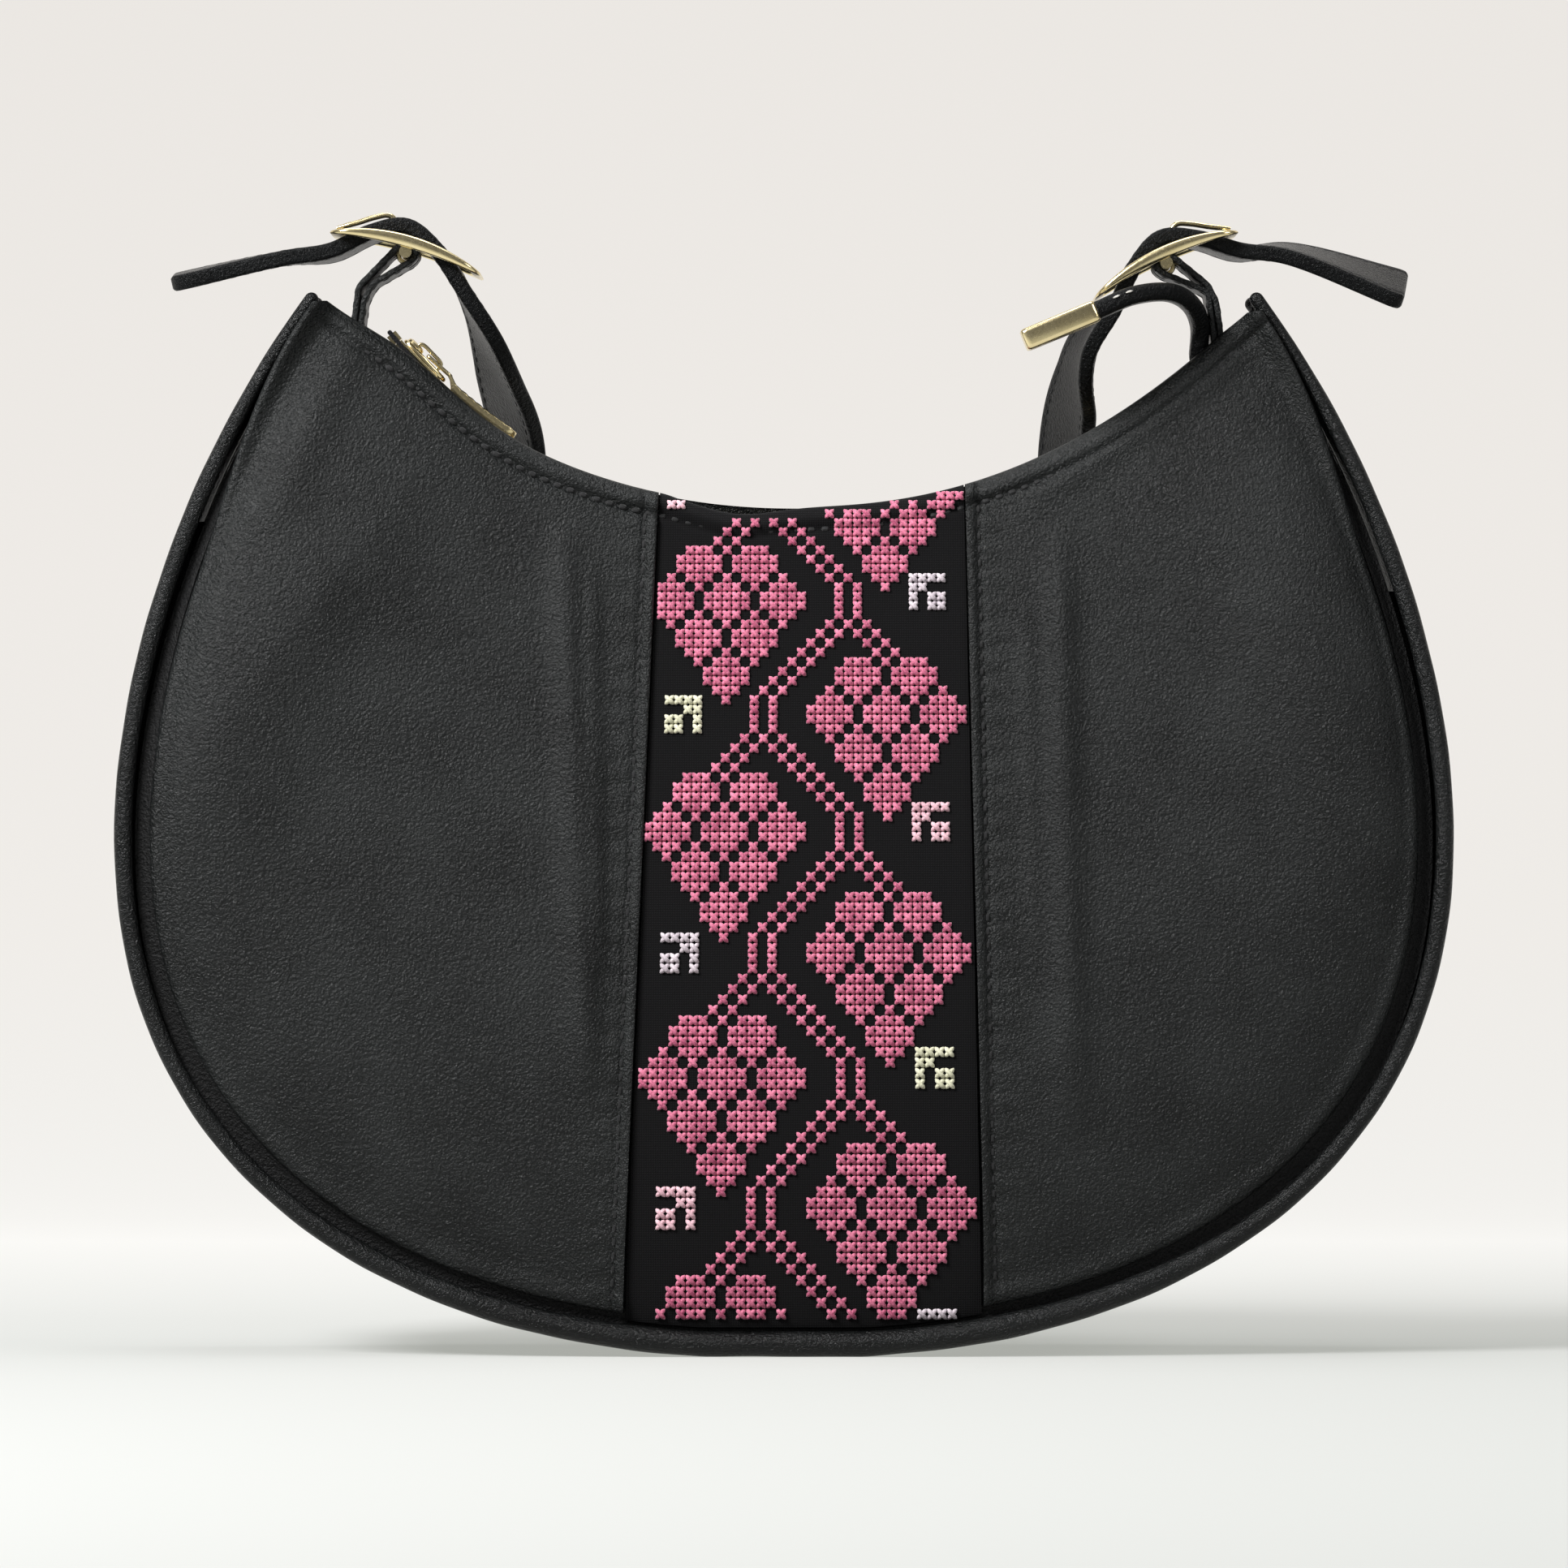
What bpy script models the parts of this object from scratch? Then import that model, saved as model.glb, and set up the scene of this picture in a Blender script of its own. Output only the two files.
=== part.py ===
"""Half moon shoulder bag, modelled upright as it is carried.

+X to the right, +Y to the back, +Z up, in metres. The origin is the middle of the flat patch that
the bag stands on, at the bottom of the gusset.
"""
import math

import bmesh
import bpy
import numpy as np
from mathutils import Vector
from mathutils.geometry import tessellate_polygon

# Driving sizes of the body
BODY_WIDTH = 0.340
WIDEST_HEIGHT = 0.134
TIP_RISE = 0.212
FLAT_DEPTH = 0.00046
LOWER_ROUNDNESS_SHARE = 2.27
UPPER_ROUNDNESS_SHARE = 1.80
TIP_HALF_SPAN = 0.122
SEAM_HALF = 0.027
TIP_SEAM_HALF = 0.013
SEAM_TAPER_SHARE = 0.42
BELLY = 0.0085
BELLY_POWER_SHARE = 0.75

# Mouth edge, which rises from its low point to each tip
MOUTH_LOW = 0.2162
MOUTH_CENTRE = 0.004
MOUTH_LEFT_RISE = 0.0555
MOUTH_RIGHT_RISE = 0.0540
MOUTH_POWER_SHARE = 2.2
MOUTH_CREST = 0.0055
MOUTH_CREST_PLACE_SHARE = 0.80
MOUTH_CREST_SPREAD_SHARE = 0.15
MOUTH_HALF = 0.012
CORNER_DROP = 0.003
CORNER_TRIM = 0.0035

# Materials' thicknesses and the gap that touching pieces keep
LEATHER = 0.0016
LINING = 0.0008
TAPE = 0.0008
GAP = 0.0003

# Seams of the centre band, measured at the mouth and at the bottom
BAND_LEFT_TOP = 0.0318
BAND_RIGHT_TOP = 0.0460
BAND_LEFT_BOTTOM = 0.0415
BAND_RIGHT_BOTTOM = 0.0516
BAND_RECESS = 0.0006

# Piping and gusset
PIPING_RADIUS = 0.0035
GUSSET_DIP = 0.0020
GUSSET_FLAT_SHARE = 0.62

# Mouth facings, lining and pocket
FACING_DEPTH = 0.010
FACING_START = 0.0006
FACING = 0.0010
FACING_REACH = 0.103
LINING_REACH = 0.098
LINING_SEAM = 0.003
LINING_FLOOR = 0.0026
POCKET_HALF_WIDTH = 0.040
POCKET_LOW_SHARE = 0.62
POCKET_HIGH_SHARE = 0.28

# Zip: its arc, tapes, teeth and stops
ZIP_CENTRE_X = 0.0057
ZIP_CENTRE_Z = 0.3482
ZIP_RADIUS = 0.1378
ZIP_LEFT_END = math.radians(-50.8)
ZIP_RIGHT_END = math.radians(44.5)
TEETH_LEFT_END = math.radians(-49.28)
TEETH_RIGHT_END = math.radians(42.9)
TOOTH_PITCH = 0.0030
TOOTH_SHARE = 0.56
TOOTH_TIP = 0.0007
TOOTH_ROOT = 0.0016
CHAIN_HALF = 0.0030
CHAIN_HALF_HEIGHT = 0.0011
STOP_LENGTH = 0.0026
STOP_HALF_HEIGHT = 0.0014

# Slider and puller
SLIDER_ANGLE = math.radians(-46.0)
SLIDER_LENGTH = 0.0147
SLIDER_HALF_WIDTH = 0.0050
SLIDER_PLATE = 0.0012
SLIDER_WEB_HALF = 0.00035
BAIL_HALF_LENGTH = 0.0042
BAIL_HALF_WIDTH = 0.0012
BAIL_HOLE_HALF = 0.0027
BAIL_HOLE_HEIGHT = 0.0015
BAIL_WALL = 0.0010
PULLER_LENGTH = 0.0300
PULLER_HALF_WIDTH = 0.0034
PULLER_TIP_HALF_WIDTH = 0.0029
PULLER_THICKNESS = 0.0010
PULLER_BAR_HALF = 0.0005
PULLER_WINDOW_HALF = 0.0016
PULLER_WINDOW_LENGTH = 0.0058
PULLER_TILT = math.radians(4.2)

# Leather tail at the zip's right end, and its metal end
TAIL_HALF_WIDTH = 0.0046
TAIL_THICKNESS = 0.0040
TAIL_SIDE = 0.0258
TAIL_CAP_LENGTH = 0.0200
TAIL_CAP_THICKNESS = 0.0056
TAIL_CAP_HALF_WIDTH = 0.0056
TAIL_ROUTE = (
    (0.1060, -0.0042, 0.2545), (0.1062, -0.0070, 0.2620), (0.1035, -0.0140, 0.2675),
    (0.0975, -0.0215, 0.2702), (0.0885, -TAIL_SIDE, 0.2692), (0.0796, -TAIL_SIDE, 0.2655),
)
TAIL_STATIONS_PER_SPAN = 4

# Shoulder strap
STRAP_HALF_WIDTH = 0.0125
STRAP_THICKNESS = 0.0040
STRAP_BEVEL = 0.0008
STRAP_SWING_HEIGHT = 0.260
STRAP_LEFT_CUT = 0.0762
STRAP_RIGHT_CUT = 0.0788

# Strap's route through a buckle, from its loose end, as places along and above the buckle
STRAP_LEFT_TAIL = ((-0.0559, -0.0231), (-0.0300, -0.0092))
STRAP_RIGHT_TAIL = ((-0.0533, -0.0312), (-0.0300, -0.0100))
STRAP_THREADED = (
    (-0.0185, -0.0044), (-0.0100, 0.0029), (-0.0016, 0.0069), (0.0074, 0.0031),
    (0.0162, -0.0043),
)
STRAP_LEFT_TAIL_ROLLS = (math.radians(6), math.radians(3))
STRAP_RIGHT_TAIL_ROLLS = (math.radians(20), math.radians(8))

# Strap's loop behind the bag: places, and how far its width turns from straight back
STRAP_LEFT_LEG = (
    (-0.0765, 0.0050, 0.2615, math.radians(-8)),
    (-0.0725, 0.0188, 0.2490, math.radians(-22)),
    (-0.0692, 0.0330, 0.2320, math.radians(-28)),
    (-0.0685, 0.0415, 0.1950, math.radians(-18)),
    (-0.0700, 0.0470, 0.1450, math.radians(-10)),
    (-0.0560, 0.0500, 0.1080, math.radians(-5)),
)
STRAP_RIGHT_LEG = (
    (0.0790, 0.0050, 0.2585, math.radians(8)),
    (0.0757, 0.0190, 0.2465, math.radians(22)),
    (0.0735, 0.0335, 0.2310, math.radians(28)),
    (0.0722, 0.0415, 0.1950, math.radians(18)),
    (0.0715, 0.0470, 0.1450, math.radians(10)),
    (0.0570, 0.0500, 0.1080, math.radians(5)),
)
STRAP_BOTTOM = (0.0, 0.0505, 0.0840, 0.0)
STRAP_SLOT_START = 0.0074
STRAP_SLOT_END = 0.0008
STRAP_SLOT_HALF_WIDTH = 0.0015

# Buckles: a bowed plate with a window, and a bar below its middle
BUCKLE_HALF_LENGTH = 0.0200
BUCKLE_HALF_WIDTH = 0.0166
BUCKLE_RAIL = 0.0032
BUCKLE_END_BAR = 0.0030
BUCKLE_CORNER = 0.0050
BUCKLE_BOW_TOP = 0.0042
BUCKLE_BOW_BOTTOM = 0.0019
BUCKLE_END_HALF_THICKNESS = 0.00045
BAR_RADIUS = 0.0016
BAR_RISE = 0.0004
BUCKLE_LEFT_PLACE = (-0.09665, 0.2807)
BUCKLE_RIGHT_PLACE = (0.0977, 0.2779)
BUCKLE_LEFT_TILT = math.radians(15.9)
BUCKLE_RIGHT_TILT = math.radians(24.6)

# Prongs
PRONG_RADIUS = 0.00075
PRONG_CLEARANCE = 0.0001
PRONG_CURL_WALL = 0.0012
PRONG_CURL_HALF_WIDTH = 0.0013

# Prong's route from its curl, as places along and above the buckle
PRONG_ROUTE = (
    (-0.0048, 0.0054), (-0.0056, 0.0080), (-0.0074, 0.0087), (-0.0105, 0.0073),
    (-0.0145, 0.0047), (-0.0193, 0.0019),
)

# Corner tabs, which loop round the bars
TAB_HALF_WIDTH = 0.0098
TAB_LEATHER = 0.0015
TAB_CLEARANCE = 0.0002
TAB_SLOT_HALF_WIDTH = 0.0017
TAB_LEFT_APEX = (-0.1078, 0.2722)
TAB_RIGHT_APEX = (0.1092, 0.2712)
TAB_LEFT_FOOT = (-0.1108, 0.2480)
TAB_RIGHT_FOOT = (0.1122, 0.2480)

# Numbers of divisions
OUTLINE_STEPS = 400
PIPING_STATIONS = 60
PIPING_SIDES = 8
GUSSET_STATIONS = 56
WALL_ROWS = 9
ARC_STATIONS = 40
STRAP_STATIONS_PER_SPAN = 7
CUTTER_OVERRUN = 0.005
MERGE_DISTANCE = 0.0000001
SHARP_ANGLE = math.radians(35)
PIPING_DOME_ANGLE = math.radians(50)
PRONG_ROOT_ANGLE = math.radians(50)


def clear_scene():
    for obj in list(bpy.data.objects):
        bpy.data.objects.remove(obj, do_unlink=True)


def make_material(name, colour, roughness, metallic=0.0):
    material = bpy.data.materials.new(name)
    material.use_nodes = True
    shader = material.node_tree.nodes["Principled BSDF"]
    shader.inputs["Base Color"].default_value = (*colour, 1.0)
    shader.inputs["Roughness"].default_value = roughness
    shader.inputs["Metallic"].default_value = metallic
    return material


def add_object(name, vertices, faces, material, hinge=None):
    """Object with its origin on its hinge, where it has one, and its faces turned outwards."""
    origin = Vector(hinge) if hinge else Vector((0, 0, 0))
    mesh = bpy.data.meshes.new(name)
    mesh.from_pydata([Vector(v) - origin for v in vertices], [], faces)
    bm = bmesh.new()
    bm.from_mesh(mesh)
    bmesh.ops.remove_doubles(bm, verts=bm.verts, dist=MERGE_DISTANCE)
    bmesh.ops.recalc_face_normals(bm, faces=bm.faces)
    bm.to_mesh(mesh)
    bm.free()
    mesh.shade_smooth()
    mesh.set_sharp_from_angle(angle=SHARP_ANGLE)
    mesh.materials.append(material)
    obj = bpy.data.objects.new(name, mesh)
    obj.location = origin
    bpy.context.scene.collection.objects.link(obj)
    return obj


def add_boolean(obj, cutter, operation):
    """Keeps the cutter as a guide that is not part of the model."""
    cutter.hide_render = True
    cutter.display_type = "WIRE"
    modifier = obj.modifiers.new(operation.title(), "BOOLEAN")
    modifier.operation = operation
    modifier.object = cutter
    modifier.solver = "EXACT"


def grid_faces(rows, columns, closed_columns=False):
    faces = []
    last = columns if closed_columns else columns - 1
    for i in range(rows - 1):
        for j in range(last):
            k = (j + 1) % columns
            faces.append((i * columns + j, i * columns + k,
                          (i + 1) * columns + k, (i + 1) * columns + j))
    return faces


def sheet(name, grid, thickness, material, direction=None):
    """Closed shell from an outer surface (rows of points) thickened to its inner side.

    Without a direction the inner side lies along the grid's own normal.
    """
    grid = np.asarray(grid, dtype=float)
    rows, columns = grid.shape[:2]
    if direction is None:
        normal = np.cross(np.gradient(grid, axis=1), np.gradient(grid, axis=0))
        normal /= np.linalg.norm(normal, axis=2, keepdims=True)
        inner = grid - normal * thickness
    else:
        inner = grid + np.array(direction) * thickness
    points = np.concatenate([grid.reshape(-1, 3), inner.reshape(-1, 3)])
    count = rows * columns
    faces = grid_faces(rows, columns)
    faces += [tuple(count + i for i in reversed(face)) for face in grid_faces(rows, columns)]
    rim = list(range(columns))
    rim += [i * columns + columns - 1 for i in range(1, rows)]
    rim += [(rows - 1) * columns + j for j in range(columns - 2, -1, -1)]
    rim += [i * columns for i in range(rows - 2, 0, -1)]
    for a, b in zip(rim, rim[1:] + rim[:1]):
        faces.append((a, count + a, count + b, b))
    return add_object(name, points.tolist(), faces, material)


def smooth_step(t):
    t = np.clip(t, 0.0, 1.0)
    return t * t * (3 - 2 * t)


def make_outline():
    """Outer outline from the left tip round the bottom to the right tip, at even lengths."""
    reach = BODY_WIDTH / 2
    tip_turn = math.pi - math.asin((TIP_HALF_SPAN / reach) ** (UPPER_ROUNDNESS_SHARE / 2))
    turn = np.linspace(-tip_turn, tip_turn, 8 * OUTLINE_STEPS)
    lower = np.abs(turn) <= math.pi / 2
    power = np.where(lower, 2 / LOWER_ROUNDNESS_SHARE, 2 / UPPER_ROUNDNESS_SHARE)
    x = reach * np.sign(turn) * np.abs(np.sin(turn)) ** power
    height = np.where(lower, -(WIDEST_HEIGHT + FLAT_DEPTH), TIP_RISE)
    z = WIDEST_HEIGHT + height * np.abs(np.cos(turn)) ** power
    z = np.maximum(z, 0.0)
    length = np.concatenate([[0], np.cumsum(np.hypot(np.diff(x), np.diff(z)))])
    even = np.linspace(0, length[-1], OUTLINE_STEPS + 1)
    return np.interp(even, length, x), np.interp(even, length, z)


OUTLINE_X, OUTLINE_Z = make_outline()


def outline_at(share, inset=0.0):
    """Point (x, z) of the outline at a share from -1 to 1, moved inwards by the inset."""
    place = (share + 1) / 2 * OUTLINE_STEPS
    steps = np.arange(OUTLINE_STEPS + 1)
    point = np.array([np.interp(place, steps, OUTLINE_X), np.interp(place, steps, OUTLINE_Z)])
    low, high = max(place - 1.5, 0), min(place + 1.5, OUTLINE_STEPS)
    tangent = np.array([
        np.interp(high, steps, OUTLINE_X) - np.interp(low, steps, OUTLINE_X),
        np.interp(high, steps, OUTLINE_Z) - np.interp(low, steps, OUTLINE_Z),
    ])
    tangent /= np.linalg.norm(tangent)
    outward = np.array([tangent[1], -tangent[0]])
    return point - outward * inset, outward


def seam_half_at(share):
    grown = smooth_step((1 - abs(share)) / SEAM_TAPER_SHARE)
    return TIP_SEAM_HALF + (SEAM_HALF - TIP_SEAM_HALF) * grown


def mouth_height(x):
    """Height of the mouth edge above the floor at x."""
    left = x < MOUTH_CENTRE
    reach = TIP_HALF_SPAN + MOUTH_CENTRE if left else TIP_HALF_SPAN - MOUTH_CENTRE
    rise = MOUTH_LEFT_RISE if left else MOUTH_RIGHT_RISE
    place = abs(x - MOUTH_CENTRE) / reach
    height = MOUTH_LOW + rise * place ** MOUTH_POWER_SHARE
    if left:
        offset = (place - MOUTH_CREST_PLACE_SHARE) / MOUTH_CREST_SPREAD_SHARE
        height += MOUTH_CREST * math.exp(-offset ** 2)
    return height


PANEL_INSET = 2 * PIPING_RADIUS + GAP


def find_share(test, low, high):
    """Share between low and high where the test stops being true."""
    for _ in range(50):
        middle = (low + high) / 2
        if test(middle):
            low = middle
        else:
            high = middle
    return low


def below_mouth(share):
    point = outline_at(share, PANEL_INSET)[0]
    return point[1] < mouth_height(point[0]) - CORNER_DROP


PANEL_END_LEFT = -find_share(lambda s: below_mouth(-s), 0.5, 1.0)
PANEL_END_RIGHT = find_share(below_mouth, 0.5, 1.0)


def share_at_x(x):
    """Outline share at the bottom of the bag below x."""
    return float(np.interp(x, OUTLINE_X[OUTLINE_Z < WIDEST_HEIGHT],
                           np.linspace(-1, 1, OUTLINE_STEPS + 1)[OUTLINE_Z < WIDEST_HEIGHT]))


# Pairs of places that the wall's ruled lines join: x at the mouth and share of the outline
MOUTH_STOPS = [
    outline_at(PANEL_END_LEFT, PANEL_INSET)[0][0] + CORNER_TRIM,
    -BAND_LEFT_TOP,
    BAND_RIGHT_TOP,
    outline_at(PANEL_END_RIGHT, PANEL_INSET)[0][0] - CORNER_TRIM,
]
SHARE_STOPS = [
    PANEL_END_LEFT,
    share_at_x(-BAND_LEFT_BOTTOM),
    share_at_x(BAND_RIGHT_BOTTOM),
    PANEL_END_RIGHT,
]


def ruled_line(x_mouth):
    """Top point, bottom point, half depth at the seam and outline share of one ruled line."""
    share = float(np.interp(x_mouth, MOUTH_STOPS, SHARE_STOPS))
    top = np.array([x_mouth, mouth_height(x_mouth)])
    bottom = outline_at(share, PANEL_INSET)[0]
    return top, bottom, seam_half_at(share), share


def wall_point(side, x_mouth, v, offset=0.0):
    """Front (side -1) or back (side 1) wall, v from mouth 0 to seam 1.

    The offset moves the point inwards from the outer surface.
    """
    top, bottom, seam, _ = ruled_line(x_mouth)
    place = top + (bottom - top) * v
    length = np.linalg.norm(bottom - top)
    swell = BELLY * min(1.0, length / WIDEST_HEIGHT)
    bulge = swell * (4 * v * (1 - v)) ** BELLY_POWER_SHARE if 0 < v < 1 else 0.0
    depth = MOUTH_HALF + (seam - MOUTH_HALF) * smooth_step(v) + bulge
    return np.array([place[0], side * (depth - offset), place[1]])


def wall_sheet(name, side, x_values, v_rows, offset, thickness, material):
    """Layer of the wall. v_rows gives the shares down the wall for each column."""
    grid = []
    for row in range(len(v_rows(x_values[0]))):
        grid.append([wall_point(side, x, v_rows(x)[row], offset) for x in x_values])
    return sheet(name, grid, thickness, material, direction=(0, -side, 0))


def whole_wall(x):
    """Rows spaced closer near the mouth and near the seam."""
    return (1 - np.cos(np.linspace(0, math.pi, WALL_ROWS))) / 2


def line_length(x):
    top, bottom, _, _ = ruled_line(x)
    return float(np.linalg.norm(bottom - top))


def columns_between(first, last, count):
    return np.linspace(first, last, count).tolist()


def panels(leather, fabric):
    left, band_left, band_right, right = MOUTH_STOPS
    seam = GAP / 2
    cells = [
        ("front_panel_left", left, band_left - seam, 15, leather, 0.0),
        ("front_centre_band", band_left + seam, band_right - seam, 7, fabric, BAND_RECESS),
        ("front_panel_right", band_right + seam, right, 14, leather, 0.0),
    ]
    for name, first, last, count, material, recess in cells:
        wall_sheet(name, -1, columns_between(first, last, count), whole_wall, recess,
                   LEATHER - recess, material)
    wall_sheet("back_panel", 1, columns_between(left, right, 32), whole_wall, 0.0, LEATHER,
               leather)


def piping(name, side, material):
    """Corded edge from tip to tip, with rounded ends."""
    stations = []
    for share in np.linspace(-1, 1, PIPING_STATIONS):
        centre, outward = outline_at(share, PIPING_RADIUS)
        stations.append((centre, outward, side * seam_half_at(share), 1.0))
    first, last = stations[0], stations[-1]
    for at, end, sign in ((0, first, -1), (len(stations), last, 1)):
        centre, outward, y, _ = end
        forward = np.array([-outward[1], outward[0]]) * sign
        dome = (centre + forward * PIPING_RADIUS * math.sin(PIPING_DOME_ANGLE), outward, y,
                math.cos(PIPING_DOME_ANGLE))
        if at == 0:
            stations.insert(0, dome)
        else:
            stations.append(dome)
    points = []
    for centre, outward, y, scale in stations:
        for k in range(PIPING_SIDES):
            angle = 2 * math.pi * k / PIPING_SIDES
            shift = PIPING_RADIUS * scale * math.cos(angle)
            points.append((centre[0] + outward[0] * shift,
                           y + PIPING_RADIUS * scale * math.sin(angle),
                           centre[1] + outward[1] * shift))
    faces = grid_faces(len(stations), PIPING_SIDES, closed_columns=True)
    faces.append(tuple(range(PIPING_SIDES)))
    start = (len(stations) - 1) * PIPING_SIDES
    faces.append(tuple(start + k for k in reversed(range(PIPING_SIDES))))
    return add_object(name, points, faces, material)


def gusset(material):
    """Strip between the two pipings, flat along its middle and dipped at its edges."""
    across_shares = (-1.0, -GUSSET_FLAT_SHARE, 0.0, GUSSET_FLAT_SHARE, 1.0)
    grid = []
    for across in across_shares:
        line = []
        for share in np.linspace(-1, 1, GUSSET_STATIONS):
            half = seam_half_at(share) - PIPING_RADIUS - GAP
            dip = GUSSET_DIP if abs(across) == 1.0 else 0.0
            point = outline_at(share, dip)[0]
            line.append((point[0], across * half, point[1]))
        grid.append(line)
    return sheet("gusset", np.array(grid)[::-1], LEATHER, material)


def arc_point(angle, radial=0.0):
    """Point (x, z) on the zip's arc, moved towards the arc's centre by the radial value."""
    radius = ZIP_RADIUS - radial
    return (ZIP_CENTRE_X + radius * math.sin(angle), ZIP_CENTRE_Z - radius * math.cos(angle))


def arc_prism(name, outline, angles, material, hinge=None):
    """Closed outline of (y, radial) points carried along the zip's arc."""
    points = []
    for angle in angles:
        for y, radial in outline:
            x, z = arc_point(angle, radial)
            points.append((x, y, z))
    count = len(outline)
    faces = grid_faces(len(angles), count, closed_columns=True)
    faces.append(tuple(range(count)))
    start = (len(angles) - 1) * count
    faces.append(tuple(start + k for k in reversed(range(count))))
    return add_object(name, points, faces, material, hinge)


def box_outline(y_low, y_high, low, high):
    return [(y_low, low), (y_high, low), (y_high, high), (y_low, high)]


def mouth_facings(material):
    """Turned strips inside the mouth edge, which carry the zip tapes."""
    def rows(x):
        return np.linspace(FACING_START, FACING_DEPTH, 3) / line_length(x)

    columns = columns_between(-FACING_REACH, FACING_REACH, 30)
    for name, side in (("front_mouth_facing", -1), ("back_mouth_facing", 1)):
        wall_sheet(name, side, columns, rows, LEATHER + GAP, FACING, material)


TAPE_OUTER = MOUTH_HALF - LEATHER - GAP - FACING - 2 * GAP
TAPE_INNER = CHAIN_HALF + GAP


def zip_tapes(material):
    angles = np.linspace(ZIP_LEFT_END, ZIP_RIGHT_END, ARC_STATIONS)
    for name, side in (("front_zip_tape", -1), ("back_zip_tape", 1)):
        outline = box_outline(side * TAPE_INNER, side * TAPE_OUTER, -TAPE / 2, TAPE / 2)
        arc_prism(name, outline, angles, material)


def zip_teeth(material):
    """One comb on each side: a continuous root with teeth at an even pitch.

    The back comb is half a pitch further on, so its teeth face the front comb's gaps.
    """
    step = TOOTH_PITCH / ZIP_RADIUS
    for name, side, shift in (("front_zip_teeth", -1, 0.0), ("back_zip_teeth", 1, step / 2)):
        outline = []
        angle = TEETH_LEFT_END + shift
        while angle + step <= TEETH_RIGHT_END + shift:
            outline += [
                (angle, TOOTH_TIP),
                (angle + step * TOOTH_SHARE, TOOTH_TIP),
                (angle + step * TOOTH_SHARE, TOOTH_ROOT),
                (angle + step, TOOTH_ROOT),
            ]
            angle += step
        back = [(a, CHAIN_HALF) for a in np.linspace(angle, TEETH_LEFT_END + shift, ARC_STATIONS)]
        outline = outline[:-1] + back
        points = []
        for radial in (-CHAIN_HALF_HEIGHT, CHAIN_HALF_HEIGHT):
            for a, y in outline:
                x, z = arc_point(a, radial)
                points.append((x, side * y, z))
        count = len(outline)
        faces = [(k, (k + 1) % count, count + (k + 1) % count, count + k) for k in range(count)]
        bm = bmesh.new()
        vertices = [bm.verts.new(p) for p in points]
        for face in faces:
            bm.faces.new([vertices[i] for i in face])
        flat = [Vector((side * y, a, 0)) for a, y in outline]
        for layer in (0, count):
            for triangle in tessellate_polygon([flat]):
                bm.faces.new([vertices[layer + i] for i in triangle])
        add_from_bmesh(name, bm, material)


def add_from_bmesh(name, bm, material, hinge=None):
    """Object from a bmesh in world places."""
    origin = Vector(hinge) if hinge else Vector((0, 0, 0))
    bmesh.ops.translate(bm, verts=bm.verts, vec=-origin)
    bmesh.ops.recalc_face_normals(bm, faces=bm.faces)
    mesh = bpy.data.meshes.new(name)
    bm.to_mesh(mesh)
    bm.free()
    mesh.shade_smooth()
    mesh.set_sharp_from_angle(angle=SHARP_ANGLE)
    mesh.materials.append(material)
    obj = bpy.data.objects.new(name, mesh)
    obj.location = origin
    bpy.context.scene.collection.objects.link(obj)
    return obj


def zip_stops(material):
    """A stop at each end of the chain, across both tapes' edges."""
    gap = GAP / ZIP_RADIUS
    length = STOP_LENGTH / ZIP_RADIUS
    outline = box_outline(-CHAIN_HALF, CHAIN_HALF, -STOP_HALF_HEIGHT, STOP_HALF_HEIGHT)
    left_high = TEETH_LEFT_END - gap
    right_low = TEETH_RIGHT_END + gap + TOOTH_PITCH / ZIP_RADIUS / 2
    arc_prism("zip_top_stop", outline, [left_high - length, left_high], material)
    arc_prism("zip_bottom_stop", outline, [right_low, right_low + length], material)


SLIDER_INNER = CHAIN_HALF_HEIGHT + GAP
SLIDER_OUTER = SLIDER_INNER + SLIDER_PLATE


def slider_frame():
    """Slider's own axes at its rest: place, forward along the arc and up to the arc's centre."""
    x, z = arc_point(SLIDER_ANGLE)
    forward = Vector((math.cos(SLIDER_ANGLE), 0, math.sin(SLIDER_ANGLE)))
    up = Vector((-math.sin(SLIDER_ANGLE), 0, math.cos(SLIDER_ANGLE)))
    return Vector((x, 0, z)), forward, up


def prism_between(name, outline, y_low, y_high, place, forward, up, material, hinge=None):
    """Outline of (forward, up) points, extruded across the bag from y_low to y_high."""
    points = []
    for y in (y_low, y_high):
        for a, b in outline:
            point = place + forward * a + up * b
            points.append((point.x, y, point.z))
    count = len(outline)
    faces = [(k, (k + 1) % count, count + (k + 1) % count, count + k) for k in range(count)]
    faces.append(tuple(reversed(range(count))))
    faces.append(tuple(range(count, 2 * count)))
    return add_object(name, points, faces, material, hinge)


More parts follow.
